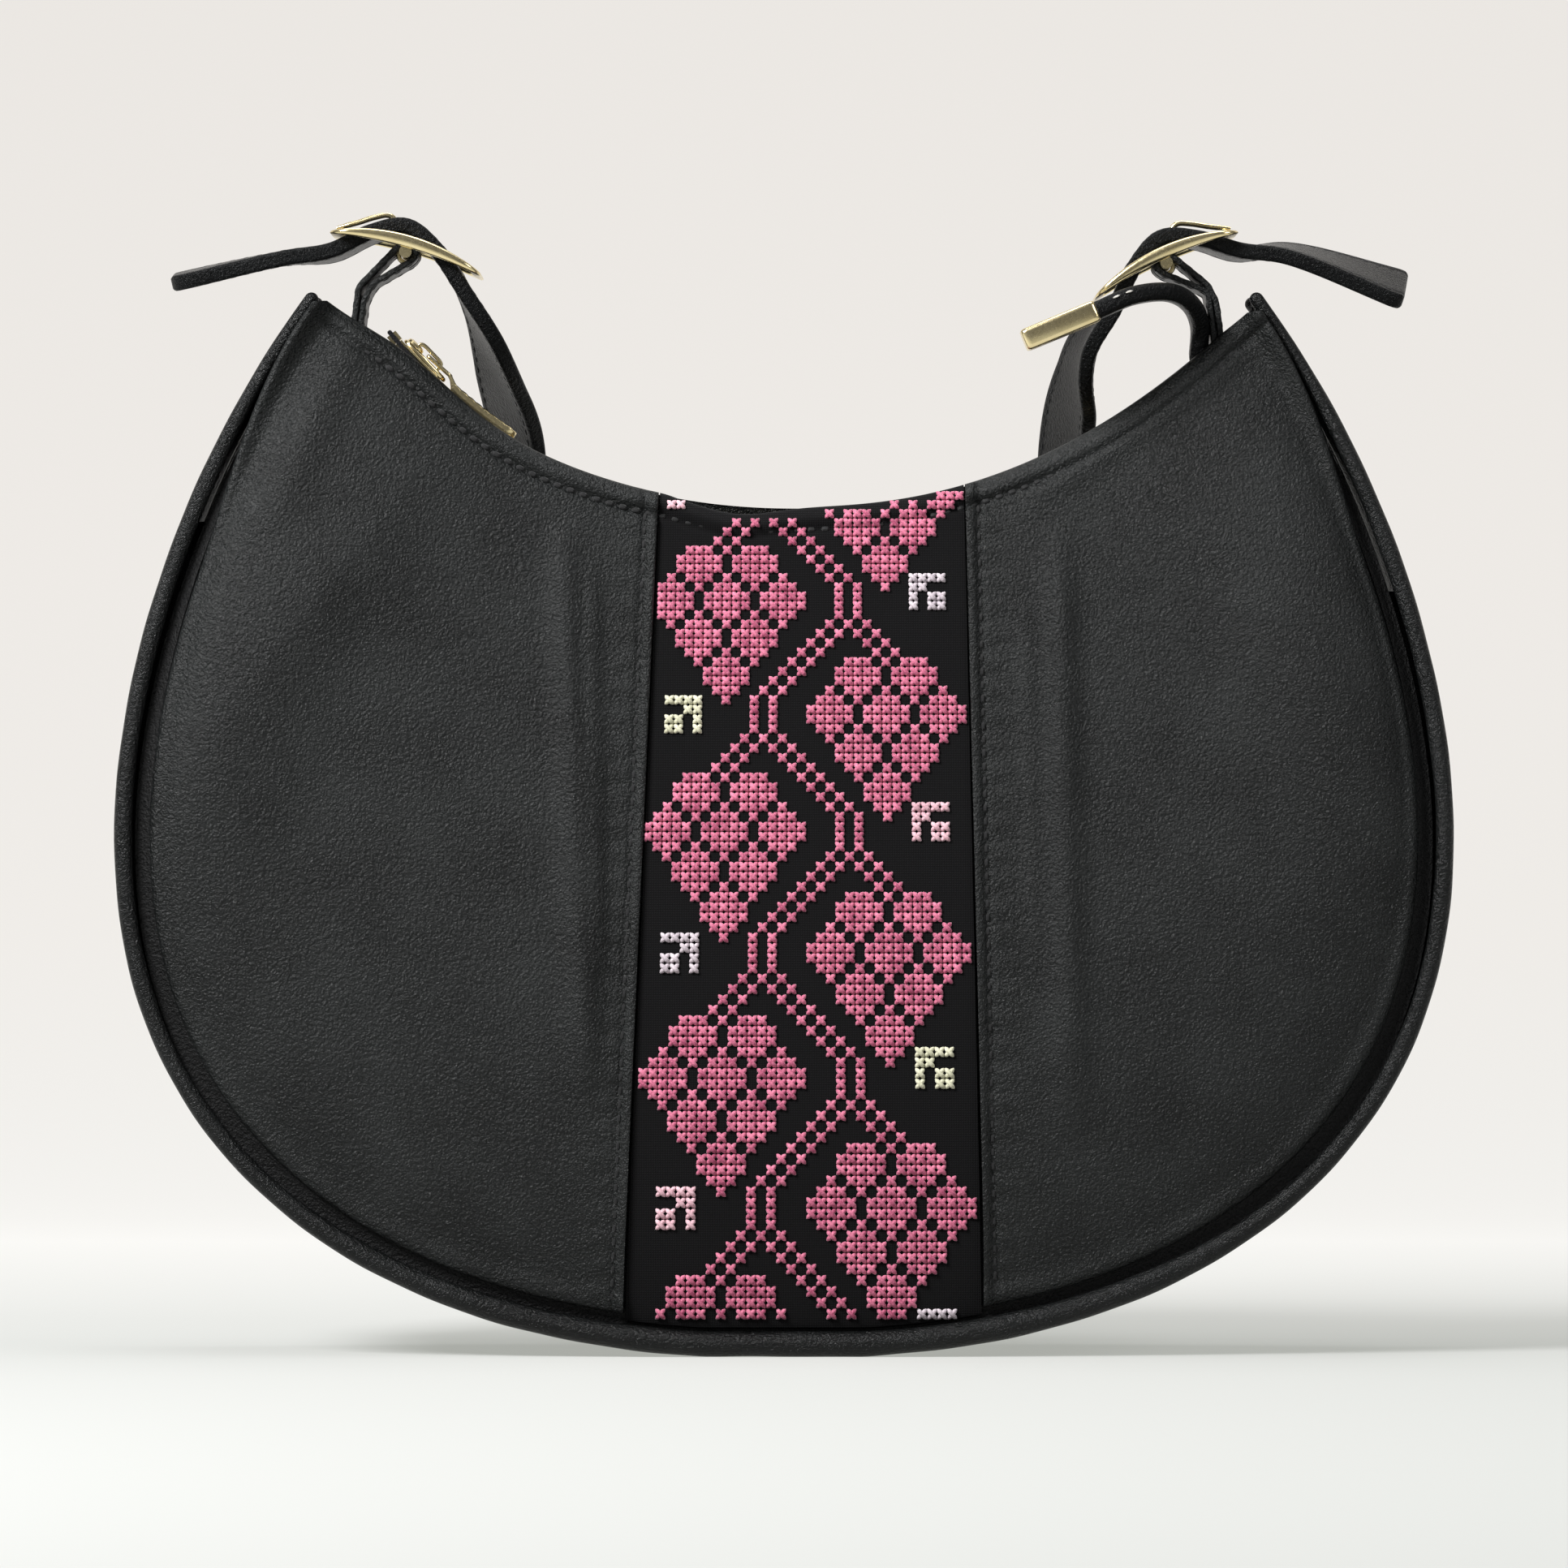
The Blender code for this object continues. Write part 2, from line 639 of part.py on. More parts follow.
def zip_slider(material):
    """Two plates joined by a thin web, with a bail on top that holds the puller."""
    half = SLIDER_LENGTH / 2 / ZIP_RADIUS
    w, web = SLIDER_HALF_WIDTH, SLIDER_WEB_HALF
    inner, outer = SLIDER_INNER, SLIDER_OUTER
    outline = [
        (-w, inner), (-w, outer), (w, outer), (w, inner), (web, inner), (web, -inner),
        (w, -inner), (w, -outer), (-w, -outer), (-w, -inner), (-web, -inner), (-web, inner),
    ]
    angles = np.linspace(SLIDER_ANGLE - half, SLIDER_ANGLE + half, 5)
    centre = (ZIP_CENTRE_X, 0, ZIP_CENTRE_Z)
    slider = arc_prism("zip_slider", outline, angles, material, centre)
    place, forward, up = slider_frame()
    sink = SLIDER_PLATE / 2
    top = SLIDER_OUTER + BAIL_HOLE_HEIGHT + BAIL_WALL
    corner = BAIL_WALL
    bail = prism_between(
        "bail_guide",
        [(-BAIL_HALF_LENGTH, SLIDER_OUTER - sink), (-BAIL_HALF_LENGTH, top - corner),
         (-BAIL_HALF_LENGTH + corner, top), (BAIL_HALF_LENGTH - corner, top),
         (BAIL_HALF_LENGTH, top - corner), (BAIL_HALF_LENGTH, SLIDER_OUTER - sink),
         (BAIL_HOLE_HALF, SLIDER_OUTER - sink), (BAIL_HOLE_HALF, SLIDER_OUTER + BAIL_HOLE_HEIGHT),
         (-BAIL_HOLE_HALF, SLIDER_OUTER + BAIL_HOLE_HEIGHT), (-BAIL_HOLE_HALF, SLIDER_OUTER - sink)],
        -BAIL_HALF_WIDTH, BAIL_HALF_WIDTH, place, forward, up, material)
    add_boolean(slider, bail, "UNION")


def ring_plate(name, outer, inner, place, forward, up, thickness, material, hinge):
    """Flat plate with a window: matched outer and inner outlines of (forward, y) points."""
    count = len(outer)
    points = []
    for height in (-thickness / 2, thickness / 2):
        for loop in (outer, inner):
            for a, y in loop:
                point = place + forward * a + up * height
                points.append((point.x, point.y + y, point.z))
    faces = []
    for k in range(count):
        n = (k + 1) % count
        faces.append((k, n, count + n, count + k))
        faces.append((2 * count + k, 3 * count + k, 3 * count + n, 2 * count + n))
        faces.append((k, 2 * count + k, 2 * count + n, n))
        faces.append((count + k, count + n, 3 * count + n, 3 * count + k))
    return add_object(name, points, faces, material, hinge)


PIN_RISE = SLIDER_OUTER + BAIL_HOLE_HEIGHT / 2


def zip_puller(material):
    """Tapered bar whose window takes the slider's bail, lying along the chain."""
    place, forward, up = slider_frame()
    pivot = place + up * PIN_RISE
    turn = PULLER_TILT
    along = forward * math.cos(turn) + up * math.sin(turn)
    rise = up * math.cos(turn) - forward * math.sin(turn)
    start, end = -PULLER_BAR_HALF, PULLER_LENGTH
    wide, slim = PULLER_HALF_WIDTH, PULLER_TIP_HALF_WIDTH
    round_end = slim
    cut = round_end * (1 - math.sqrt(0.5))
    outer = [
        (start, -wide), (start, wide), (PULLER_WINDOW_LENGTH, wide),
        (end - round_end, slim), (end - cut, slim * math.sqrt(0.5)), (end, 0),
        (end - cut, -slim * math.sqrt(0.5)), (end - round_end, -slim),
        (PULLER_WINDOW_LENGTH, -wide),
    ]
    hole, near, far = PULLER_WINDOW_HALF, PULLER_BAR_HALF, PULLER_WINDOW_LENGTH
    third = (far + 2 * near) / 3
    inner = [
        (near, -hole), (near, hole), (third, hole), (far - near, hole), (far, hole / 2),
        (far, 0), (far, -hole / 2), (far - near, -hole), (third, -hole),
    ]
    ring_plate("zip_puller", outer, inner, pivot, along, rise, PULLER_THICKNESS, material,
               (pivot.x, pivot.y, pivot.z))


def catmull_rom(points, per_span):
    """Smooth curve through the points, with even parameter steps in each span."""
    points = [np.asarray(p, dtype=float) for p in points]
    ends = [2 * points[0] - points[1]] + points + [2 * points[-1] - points[-2]]
    curve = []
    for i in range(1, len(ends) - 2):
        a, b, c, d = ends[i - 1], ends[i], ends[i + 1], ends[i + 2]
        knots = [0.0]
        for p, q in ((a, b), (b, c), (c, d)):
            knots.append(knots[-1] + math.sqrt(np.linalg.norm((q - p)[:3])))
        for k in range(per_span):
            t = knots[1] + (knots[2] - knots[1]) * k / per_span
            curve.append(knot_blend((a, b, c, d), knots, t))
    curve.append(points[-1])
    return curve


def knot_blend(points, knots, t):
    """Pyramid of linear blends between the four points, at parameter t."""
    row = list(points)
    spans = ((0, 1), (1, 2), (2, 3)), ((0, 2), (1, 3)), ((1, 2),)
    for pairs in spans:
        row = [
            ((knots[high] - t) * row[i] + (t - knots[low]) * row[i + 1])
            / (knots[high] - knots[low])
            for i, (low, high) in enumerate(pairs)
        ]
    return row[0]


def ribbon(name, stations, half_width, thickness, bevel, material, hinge=None):
    """Strap of even section. Each station is (x, y, z, roll), with its width along Y at no roll."""
    places = np.array([s[:3] for s in stations])
    rolls = [s[3] for s in stations]
    tangents = np.gradient(places, axis=0)
    points = []
    t = thickness / 2
    section = [
        (-half_width + bevel, -t), (half_width - bevel, -t), (half_width, -t + bevel),
        (half_width, t - bevel), (half_width - bevel, t), (-half_width + bevel, t),
        (-half_width, t - bevel), (-half_width, -t + bevel),
    ]
    for place, tangent, roll in zip(places, tangents, rolls):
        tangent = tangent / np.linalg.norm(tangent)
        width = np.array([0.0, 1.0, 0.0])
        width = width - tangent * width.dot(tangent)
        width /= np.linalg.norm(width)
        normal = np.cross(tangent, width)
        turned = width * math.cos(roll) + normal * math.sin(roll)
        face = np.cross(tangent, turned)
        for a, b in section:
            points.append((place + turned * a + face * b).tolist())
    count = len(section)
    faces = grid_faces(len(stations), count, closed_columns=True)
    faces.append(tuple(range(count)))
    start = (len(stations) - 1) * count
    faces.append(tuple(start + k for k in reversed(range(count))))
    return add_object(name, points, faces, material, hinge)


def cut_at_x(obj, x, keep_greater):
    """Cuts a solid by the plane at x and closes it."""
    bm = bmesh.new()
    bm.from_mesh(obj.data)
    origin = obj.location
    normal = (-1, 0, 0) if keep_greater else (1, 0, 0)
    result = bmesh.ops.bisect_plane(
        bm, geom=bm.verts[:] + bm.edges[:] + bm.faces[:], dist=MERGE_DISTANCE,
        plane_co=(x - origin.x, 0, 0), plane_no=normal, clear_outer=True)
    edges = [g for g in result["geom_cut"] if isinstance(g, bmesh.types.BMEdge)]
    bmesh.ops.holes_fill(bm, edges=edges, sides=0)
    bmesh.ops.triangulate(bm, faces=bm.faces)
    bmesh.ops.recalc_face_normals(bm, faces=bm.faces)
    bm.to_mesh(obj.data)
    bm.free()
    obj.data.shade_smooth()
    obj.data.set_sharp_from_angle(angle=SHARP_ANGLE)


class Buckle:
    """Local axes of one buckle: u runs towards the bag's middle, w out of its top."""

    def __init__(self, side, place, tilt):
        self.side = side
        self.place = Vector((place[0], 0, place[1]))
        self.along = Vector((-side * math.cos(tilt), 0, -math.sin(tilt)))
        self.up = Vector((-side * math.sin(tilt), 0, math.cos(tilt)))

    def at(self, u, w, y=0.0):
        point = self.place + self.along * u + self.up * w
        return (point.x, y, point.z)


def plate_top(u):
    return BUCKLE_BOW_TOP * (1 - (u / BUCKLE_HALF_LENGTH) ** 2) + BUCKLE_END_HALF_THICKNESS


def plate_bottom(u):
    return BUCKLE_BOW_BOTTOM * (1 - (u / BUCKLE_HALF_LENGTH) ** 2) - BUCKLE_END_HALF_THICKNESS


def rounded_rectangle(half_u, half_y, corner, straight, turn):
    """Points round a rectangle with round corners, the same number for any size."""
    points = []
    for cu, cy, start in ((1, 1, 0), (-1, 1, 1), (-1, -1, 2), (1, -1, 3)):
        for k in range(turn + 1):
            angle = (start + k / turn) * math.pi / 2
            points.append((cu * (half_u - corner) + corner * math.cos(angle),
                           cy * (half_y - corner) + corner * math.sin(angle)))
        here = points[-1]
        nu, ny = ((-1, 1), (-1, -1), (1, -1), (1, 1))[start]
        after_angle = ((start + 1) % 4) * math.pi / 2
        after = (nu * (half_u - corner) + corner * math.cos(after_angle),
                 ny * (half_y - corner) + corner * math.sin(after_angle))
        for k in range(1, straight):
            share = k / straight
            points.append((here[0] + (after[0] - here[0]) * share,
                           here[1] + (after[1] - here[1]) * share))
    return points


def buckle_frame(name, buckle, material):
    """Bowed plate, thickest at its middle, with its window and the bar below it."""
    outer = rounded_rectangle(BUCKLE_HALF_LENGTH, BUCKLE_HALF_WIDTH, BUCKLE_CORNER, 6, 3)
    inner = rounded_rectangle(BUCKLE_HALF_LENGTH - BUCKLE_END_BAR,
                              BUCKLE_HALF_WIDTH - BUCKLE_RAIL, BUCKLE_RAIL / 2, 6, 3)
    count = len(outer)
    points = []
    for height in (plate_bottom, plate_top):
        for loop in (outer, inner):
            points += [buckle.at(u, height(u), y) for u, y in loop]
    faces = []
    for k in range(count):
        n = (k + 1) % count
        faces.append((k, n, count + n, count + k))
        faces.append((2 * count + k, 3 * count + k, 3 * count + n, 2 * count + n))
        faces.append((k, 2 * count + k, 2 * count + n, n))
        faces.append((count + k, count + n, 3 * count + n, 3 * count + k))
    frame = add_object(name, points, faces, material)
    bar = round_bar(name + "_bar_guide", buckle, BAR_RADIUS, BUCKLE_HALF_WIDTH - BUCKLE_RAIL / 2,
                    material)
    add_boolean(frame, bar, "UNION")


def round_bar(name, buckle, radius, half_length, material, sides=12):
    points = []
    for y in (-half_length, half_length):
        for k in range(sides):
            angle = 2 * math.pi * k / sides
            points.append(buckle.at(radius * math.cos(angle),
                                    BAR_RISE + radius * math.sin(angle), y))
    faces = [(k, (k + 1) % sides, sides + (k + 1) % sides, sides + k) for k in range(sides)]
    faces.append(tuple(reversed(range(sides))))
    faces.append(tuple(range(sides, 2 * sides)))
    return add_object(name, points, faces, material)


TAB_INNER_RADIUS = BAR_RADIUS + TAB_CLEARANCE
TAB_OUTER_RADIUS = TAB_INNER_RADIUS + TAB_LEATHER


def corner_tab(name, buckle, apex, foot, material):
    """Leather strip that comes out of the corner, loops round the bar and goes back."""
    bar = np.array(buckle.at(0, BAR_RISE))[[0, 2]]
    apex = np.array(apex)
    foot = np.array(foot)
    reach = np.linalg.norm(apex - bar)
    heading = math.atan2(*(apex - bar)[::-1])
    inner, outer = [], []
    opening = math.acos(TAB_INNER_RADIUS / reach)
    turns = np.linspace(heading + opening, heading + 2 * math.pi - opening, 13)
    for angle in turns:
        direction = np.array([math.cos(angle), math.sin(angle)])
        inner.append(bar + direction * TAB_INNER_RADIUS)
        outer.append(bar + direction * TAB_OUTER_RADIUS)
    neck = foot - apex
    neck /= np.linalg.norm(neck)
    across = np.array([-neck[1], neck[0]])
    first, last = outer[0], outer[-1]
    if (first - last).dot(across) < 0:
        across = -across
    outer = [foot + across * TAB_LEATHER, apex + across * TAB_LEATHER] + outer
    outer += [apex - across * TAB_LEATHER, foot - across * TAB_LEATHER]
    inner = [apex] + inner
    width = TAB_HALF_WIDTH
    bm = bmesh.new()
    layers = []
    for y in (-width, width):
        layers.append([[bm.verts.new((p[0], y, p[1])) for p in loop] for loop in (outer, inner)])
    for loop in (0, 1):
        near, far = layers[0][loop], layers[1][loop]
        for k in range(len(near)):
            n = (k + 1) % len(near)
            bm.faces.new((near[k], near[n], far[n], far[k]))
    flat = [[Vector((p[0], p[1], 0)) for p in loop] for loop in (outer, inner)]
    triangles = tessellate_polygon(flat)
    for layer in layers:
        both = layer[0] + layer[1]
        for triangle in triangles:
            bm.faces.new([both[i] for i in triangle])
    tab = add_from_bmesh(name, bm, material)
    slot = round_bar(name + "_slot_guide", buckle, TAB_OUTER_RADIUS + GAP, TAB_SLOT_HALF_WIDTH,
                     material, 16)
    add_boolean(tab, slot, "DIFFERENCE")


def tube_between(route, radii, sides):
    """Vertices and faces of a capped tube along points of (x, y, z)."""
    places = np.array(route)
    tangents = np.gradient(places, axis=0)
    points = []
    for place, tangent, radius in zip(places, tangents, radii):
        tangent = tangent / np.linalg.norm(tangent)
        side = np.array([0.0, 1.0, 0.0])
        up = np.cross(tangent, side)
        for k in range(sides):
            angle = 2 * math.pi * (k + 0.5) / sides
            points.append((place + (side * math.cos(angle) + up * math.sin(angle))
                           * radius).tolist())
    faces = grid_faces(len(places), sides, closed_columns=True)
    faces.append(tuple(range(sides)))
    start = (len(places) - 1) * sides
    faces.append(tuple(start + k for k in reversed(range(sides))))
    return points, faces


def buckle_prong(name, buckle, material):
    """Pin curled round the bar, up through the strap's slot and over to the outer end bar."""
    curl_inner = BAR_RADIUS + PRONG_CLEARANCE
    curl_outer = curl_inner + PRONG_CURL_WALL
    start = curl_inner + PRONG_CURL_WALL / 2
    root = (-start * math.cos(PRONG_ROOT_ANGLE), BAR_RISE + start * math.sin(PRONG_ROOT_ANGLE))
    local = [root, *PRONG_ROUTE]
    places = [buckle.at(u, w) for u, w in local]
    radii = [PRONG_RADIUS] * (len(local) - 1) + [PRONG_RADIUS * 2 / 3]
    points, faces = tube_between(places, radii, 8)
    hinge = buckle.at(0, BAR_RISE)
    prong = add_object(name, points, faces, material, hinge)
    sides = 16
    curl_points = []
    for y in (-PRONG_CURL_HALF_WIDTH, PRONG_CURL_HALF_WIDTH):
        for radius in (curl_outer, curl_inner):
            for k in range(sides):
                angle = 2 * math.pi * k / sides
                curl_points.append(buckle.at(radius * math.cos(angle),
                                             BAR_RISE + radius * math.sin(angle), y))
    curl_faces = []
    for k in range(sides):
        n = (k + 1) % sides
        curl_faces.append((k, n, sides + n, sides + k))
        curl_faces.append((2 * sides + k, 3 * sides + k, 3 * sides + n, 2 * sides + n))
        curl_faces.append((k, 2 * sides + k, 2 * sides + n, n))
        curl_faces.append((sides + k, sides + n, 3 * sides + n, 3 * sides + k))
    curl = add_object(name + "_curl_guide", curl_points, curl_faces, material, hinge)
    add_boolean(prong, curl, "UNION")


def threaded(buckle, tail, rolls):
    """Strap's route from its loose end to the inner side of the buckle, as (x, y, z, roll)."""
    local = [*tail, *STRAP_THREADED]
    turns = [*rolls] + [0.0] * len(STRAP_THREADED)
    return [(*buckle.at(u, w), turn) for (u, w), turn in zip(local, turns)]


def shoulder_strap(left, right, material):
    """The strap's threaded ends and its loop, parted at the planes where it swings."""
    head = threaded(left, STRAP_LEFT_TAIL, STRAP_LEFT_TAIL_ROLLS)
    tail = threaded(right, STRAP_RIGHT_TAIL, STRAP_RIGHT_TAIL_ROLLS)
    control = head + [*STRAP_LEFT_LEG, STRAP_BOTTOM, *STRAP_RIGHT_LEG[::-1]] + tail[::-1]
    curve = catmull_rom([np.array(p) for p in control], STRAP_STATIONS_PER_SPAN)
    left_cut_at = len(head) * STRAP_STATIONS_PER_SPAN
    right_cut_at = len(curve) - 1 - left_cut_at
    more = STRAP_STATIONS_PER_SPAN
    hinge = (0, 0, STRAP_SWING_HEIGHT)
    seam = GAP / 2
    end = ribbon("left_strap_end", curve[:left_cut_at + more], STRAP_HALF_WIDTH,
                 STRAP_THICKNESS, STRAP_BEVEL, material)
    cut_at_x(end, -STRAP_LEFT_CUT - seam, False)
    add_slot(end, left, material)
    end = ribbon("right_strap_end", curve[right_cut_at - more + 1:], STRAP_HALF_WIDTH,
                 STRAP_THICKNESS, STRAP_BEVEL, material)
    cut_at_x(end, STRAP_RIGHT_CUT + seam, True)
    add_slot(end, right, material)
    loop = ribbon("shoulder_strap", curve[left_cut_at - more:right_cut_at + more + 1],
                  STRAP_HALF_WIDTH, STRAP_THICKNESS, STRAP_BEVEL, material, hinge)
    cut_at_x(loop, -STRAP_LEFT_CUT + seam, True)
    cut_at_x(loop, STRAP_RIGHT_CUT - seam, False)


def add_slot(strap, buckle, material):
    """Slot for the prong, cut through the strap above the bar."""
    low = BAR_RISE + BAR_RADIUS
    high = low + STRAP_THICKNESS + CUTTER_OVERRUN
    y = STRAP_SLOT_HALF_WIDTH
    points = []
    for u in (-STRAP_SLOT_START, -STRAP_SLOT_END):
        for w in (low, high):
            points += [buckle.at(u, w, -y), buckle.at(u, w, y)]
    faces = [(0, 1, 3, 2), (4, 6, 7, 5), (0, 4, 5, 1), (2, 3, 7, 6), (0, 2, 6, 4), (1, 5, 7, 3)]
    cutter = add_object(strap.name + "_slot_guide", points, faces, material)
    add_boolean(strap, cutter, "DIFFERENCE")


def zip_tail(leather, gold):
    """Leather end of the zip, arching forwards past the strap, and its metal end."""
    curve = catmull_rom([np.array((*p, 0.0)) for p in TAIL_ROUTE], TAIL_STATIONS_PER_SPAN)
    ribbon("zip_tail_tab", curve, TAIL_HALF_WIDTH, TAIL_THICKNESS, TAIL_THICKNESS / 5, leather)
    end = Vector(TAIL_ROUTE[-1])
    heading = (end - Vector(TAIL_ROUTE[-2])).normalized()
    start = end + heading * GAP
    stations = [
        (*(start + heading * TAIL_CAP_LENGTH * share), 0.0) for share in (0.0, 0.5, 1.0)
    ]
    ribbon("zip_tail_cap", stations, TAIL_CAP_HALF_WIDTH, TAIL_CAP_THICKNESS,
           TAIL_CAP_THICKNESS / 6, gold)


def lining_point(side, x, t):
    """Point down the lining's wall, from below the facing to just short of the seam."""
    length = line_length(x)
    first = (FACING_DEPTH + GAP) / length
    last = 1 - LINING_SEAM / length
    v = first + (last - first) * t
    return wall_point(side, x, v, LEATHER + 4 * GAP)


def lining(material):
    """Open sack: front wall, floor and back wall in one loft, closed at its two ends."""
    columns = columns_between(-LINING_REACH, LINING_REACH, 27)
    rows = 6
    grid = []
    for x in columns:
        _, _, seam, share = ruled_line(x)
        line = [lining_point(-1, x, k / (rows - 1)) for k in range(rows)]
        for across in (-GUSSET_FLAT_SHARE, 0.0, GUSSET_FLAT_SHARE):
            point = outline_at(share, LINING_FLOOR)[0]
            line.append(np.array([point[0], across * (seam - PIPING_RADIUS), point[1]]))
        line += [lining_point(1, x, 1 - k / (rows - 1)) for k in range(rows)]
        grid.append(line)
    grid = np.array(grid)
    count_across, count = grid.shape[:2]
    outer = grid.reshape(-1, 3)
    faces = grid_faces(count_across, count)
    half = count // 2
    for column, flip in ((0, False), (count_across - 1, True)):
        base = column * count
        for k in range(half - 1):
            face = (base + k, base + k + 1, base + count - 2 - k, base + count - 1 - k)
            faces.append(face[::-1] if flip else face)
        face = (base + half - 1, base + half, base + half + 1)
        faces.append(face[::-1] if flip else face)
    mesh = bpy.data.meshes.new("lining")
    mesh.from_pydata(outer.tolist(), [], faces)
    bm = bmesh.new()
    bm.from_mesh(mesh)
    bmesh.ops.recalc_face_normals(bm, faces=bm.faces)
    bm.normal_update()
    bottom = min(bm.faces, key=lambda f: f.calc_center_median().z)
    if bottom.normal.z > 0:
        bmesh.ops.reverse_faces(bm, faces=bm.faces)
    bm.to_mesh(mesh)
    bm.free()
    mesh.shade_smooth()
    mesh.materials.append(material)
    obj = bpy.data.objects.new("lining", mesh)
    bpy.context.scene.collection.objects.link(obj)
    solid = obj.modifiers.new("Solidify", "SOLIDIFY")
    solid.thickness = LINING
    solid.offset = -1


def inner_pocket(material):
    """Flat slip pocket on the back wall of the lining."""
    def rows(x):
        return np.linspace(POCKET_HIGH_SHARE, POCKET_LOW_SHARE, 4)

    columns = columns_between(-POCKET_HALF_WIDTH, POCKET_HALF_WIDTH, 9)
    wall_sheet("inner_pocket", 1, columns, rows, LEATHER + LINING + 6 * GAP, LINING, material)


def build():
    clear_scene()
    leather = make_material("black_leather", (0.021, 0.022, 0.023), 0.42)
    fabric = make_material("band_fabric", (0.008, 0.008, 0.009), 0.85)
    textile = make_material("black_textile", (0.015, 0.015, 0.017), 0.80)
    gold = make_material("gold_metal", (0.83, 0.62, 0.30), 0.22, 1.0)
    left = Buckle(-1, BUCKLE_LEFT_PLACE, BUCKLE_LEFT_TILT)
    right = Buckle(1, BUCKLE_RIGHT_PLACE, BUCKLE_RIGHT_TILT)
    panels(leather, fabric)
    gusset(leather)
    piping("front_piping", -1, leather)
    piping("back_piping", 1, leather)
    mouth_facings(leather)
    zip_tapes(textile)
    zip_teeth(gold)
    zip_stops(gold)
    zip_slider(gold)
    zip_puller(gold)
    zip_tail(leather, gold)
    lining(textile)
    inner_pocket(textile)
    for word, buckle, apex, foot in (
        ("left", left, TAB_LEFT_APEX, TAB_LEFT_FOOT),
        ("right", right, TAB_RIGHT_APEX, TAB_RIGHT_FOOT),
    ):
        buckle_frame(word + "_buckle_frame", buckle, gold)
        corner_tab(word + "_corner_tab", buckle, apex, foot, leather)
        buckle_prong(word + "_buckle_prong", buckle, gold)
    shoulder_strap(left, right, leather)


build()
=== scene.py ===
"""Half moon shoulder bag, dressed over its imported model.

Lengths are in metres. +X is to the right, +Y to the back and +Z up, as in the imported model.
"""
import math

import bmesh
import bpy
import numpy as np
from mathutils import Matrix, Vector


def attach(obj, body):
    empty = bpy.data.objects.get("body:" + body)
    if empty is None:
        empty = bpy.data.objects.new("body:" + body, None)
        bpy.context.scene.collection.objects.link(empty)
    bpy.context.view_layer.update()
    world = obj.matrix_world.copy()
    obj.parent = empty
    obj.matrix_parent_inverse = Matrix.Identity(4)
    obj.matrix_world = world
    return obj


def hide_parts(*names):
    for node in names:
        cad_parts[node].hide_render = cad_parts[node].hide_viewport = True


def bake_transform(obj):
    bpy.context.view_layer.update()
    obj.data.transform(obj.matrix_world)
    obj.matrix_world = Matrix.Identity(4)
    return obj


# Body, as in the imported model
BODY_WIDTH = 0.340
WIDEST_HEIGHT = 0.134
TIP_RISE = 0.212
FLAT_DEPTH = 0.00046
LOWER_ROUNDNESS_SHARE = 2.27
UPPER_ROUNDNESS_SHARE = 1.80
TIP_HALF_SPAN = 0.122
SEAM_HALF = 0.027
TIP_SEAM_HALF = 0.013
SEAM_TAPER_SHARE = 0.42
BELLY = 0.0085
BELLY_POWER_SHARE = 0.75
MOUTH_LOW = 0.2162
MOUTH_CENTRE = 0.004
MOUTH_LEFT_RISE = 0.0555
MOUTH_RIGHT_RISE = 0.0540
MOUTH_POWER_SHARE = 2.2
MOUTH_CREST = 0.0055
MOUTH_CREST_PLACE_SHARE = 0.80
MOUTH_CREST_SPREAD_SHARE = 0.15
MOUTH_HALF = 0.012
CORNER_DROP = 0.003
CORNER_TRIM = 0.0035
LEATHER = 0.0016
TAPE = 0.0008
GAP = 0.0003
BAND_LEFT_TOP = 0.0318
BAND_RIGHT_TOP = 0.0460
BAND_LEFT_BOTTOM = 0.0415
BAND_RIGHT_BOTTOM = 0.0516
BAND_RECESS = 0.0006
PIPING_RADIUS = 0.0035
PANEL_INSET = 2 * PIPING_RADIUS + GAP
GUSSET_DIP = 0.0020
GUSSET_FLAT_SHARE = 0.62
FACING_DEPTH = 0.010
FACING_START = 0.0006
FACING = 0.0010
FACING_REACH = 0.103
LINING_REACH = 0.098
LINING_SEAM = 0.003
LINING_FLOOR = 0.0026
POCKET_HALF_WIDTH = 0.040
POCKET_LOW_SHARE = 0.62
POCKET_HIGH_SHARE = 0.28
OUTLINE_STEPS = 400
Y_AXIS = np.array([0.0, 1.0, 0.0])
SIDES = (("front", -1), ("back", 1))

# Zip
ZIP_CENTRE = (0.0057, 0.3482)
ZIP_RADIUS = 0.1378
ZIP_ENDS = (math.radians(-50.8), math.radians(44.5))
CHAIN_HALF = 0.0030
TAPE_OUTER = MOUTH_HALF - LEATHER - GAP - FACING - 2 * GAP
TAPE_INNER = CHAIN_HALF + GAP
SLIDER_ANGLE = math.radians(-46.0)
SLIDER_LENGTH = 0.0147
SLIDER_HALF_WIDTH = 0.0050
SLIDER_INNER = 0.0014
SLIDER_PLATE = 0.0012
SLIDER_OUTER = SLIDER_INNER + SLIDER_PLATE
BAIL_HALF_LENGTH = 0.0038
BAIL_HOLE_HEIGHT = 0.0015
BAIL_RADIUS = 0.0005
BAIL_HALF_WIDTH = 0.0012
BAIL_CORNER = 0.0003
BAIL_FOOT = 0.0003
BAIL_SQUARENESS = 0.35
SLIDER_SQUARENESS = 0.62
SLIDER_TAPER_SHARE = 0.22
SLIDER_LEVELS = ((0.0, 0.95), (0.2, 1.0), (0.6, 1.0), (0.88, 0.95), (1.0, 0.84))
SLIDER_OVERLAP = 0.0002
SLIDER_WEB_SHARE = 0.42
SLIDER_WEB_HALF_WIDTH = 0.00034
SLIDER_WEB_SQUARENESS = 0.5
SLIDER_BOSS_SQUARENESS = 0.8
SLIDER_BOSS_PLACE = 0.0043
SLIDER_BOSS_HALF_SIZES = (0.0026, 0.0032)
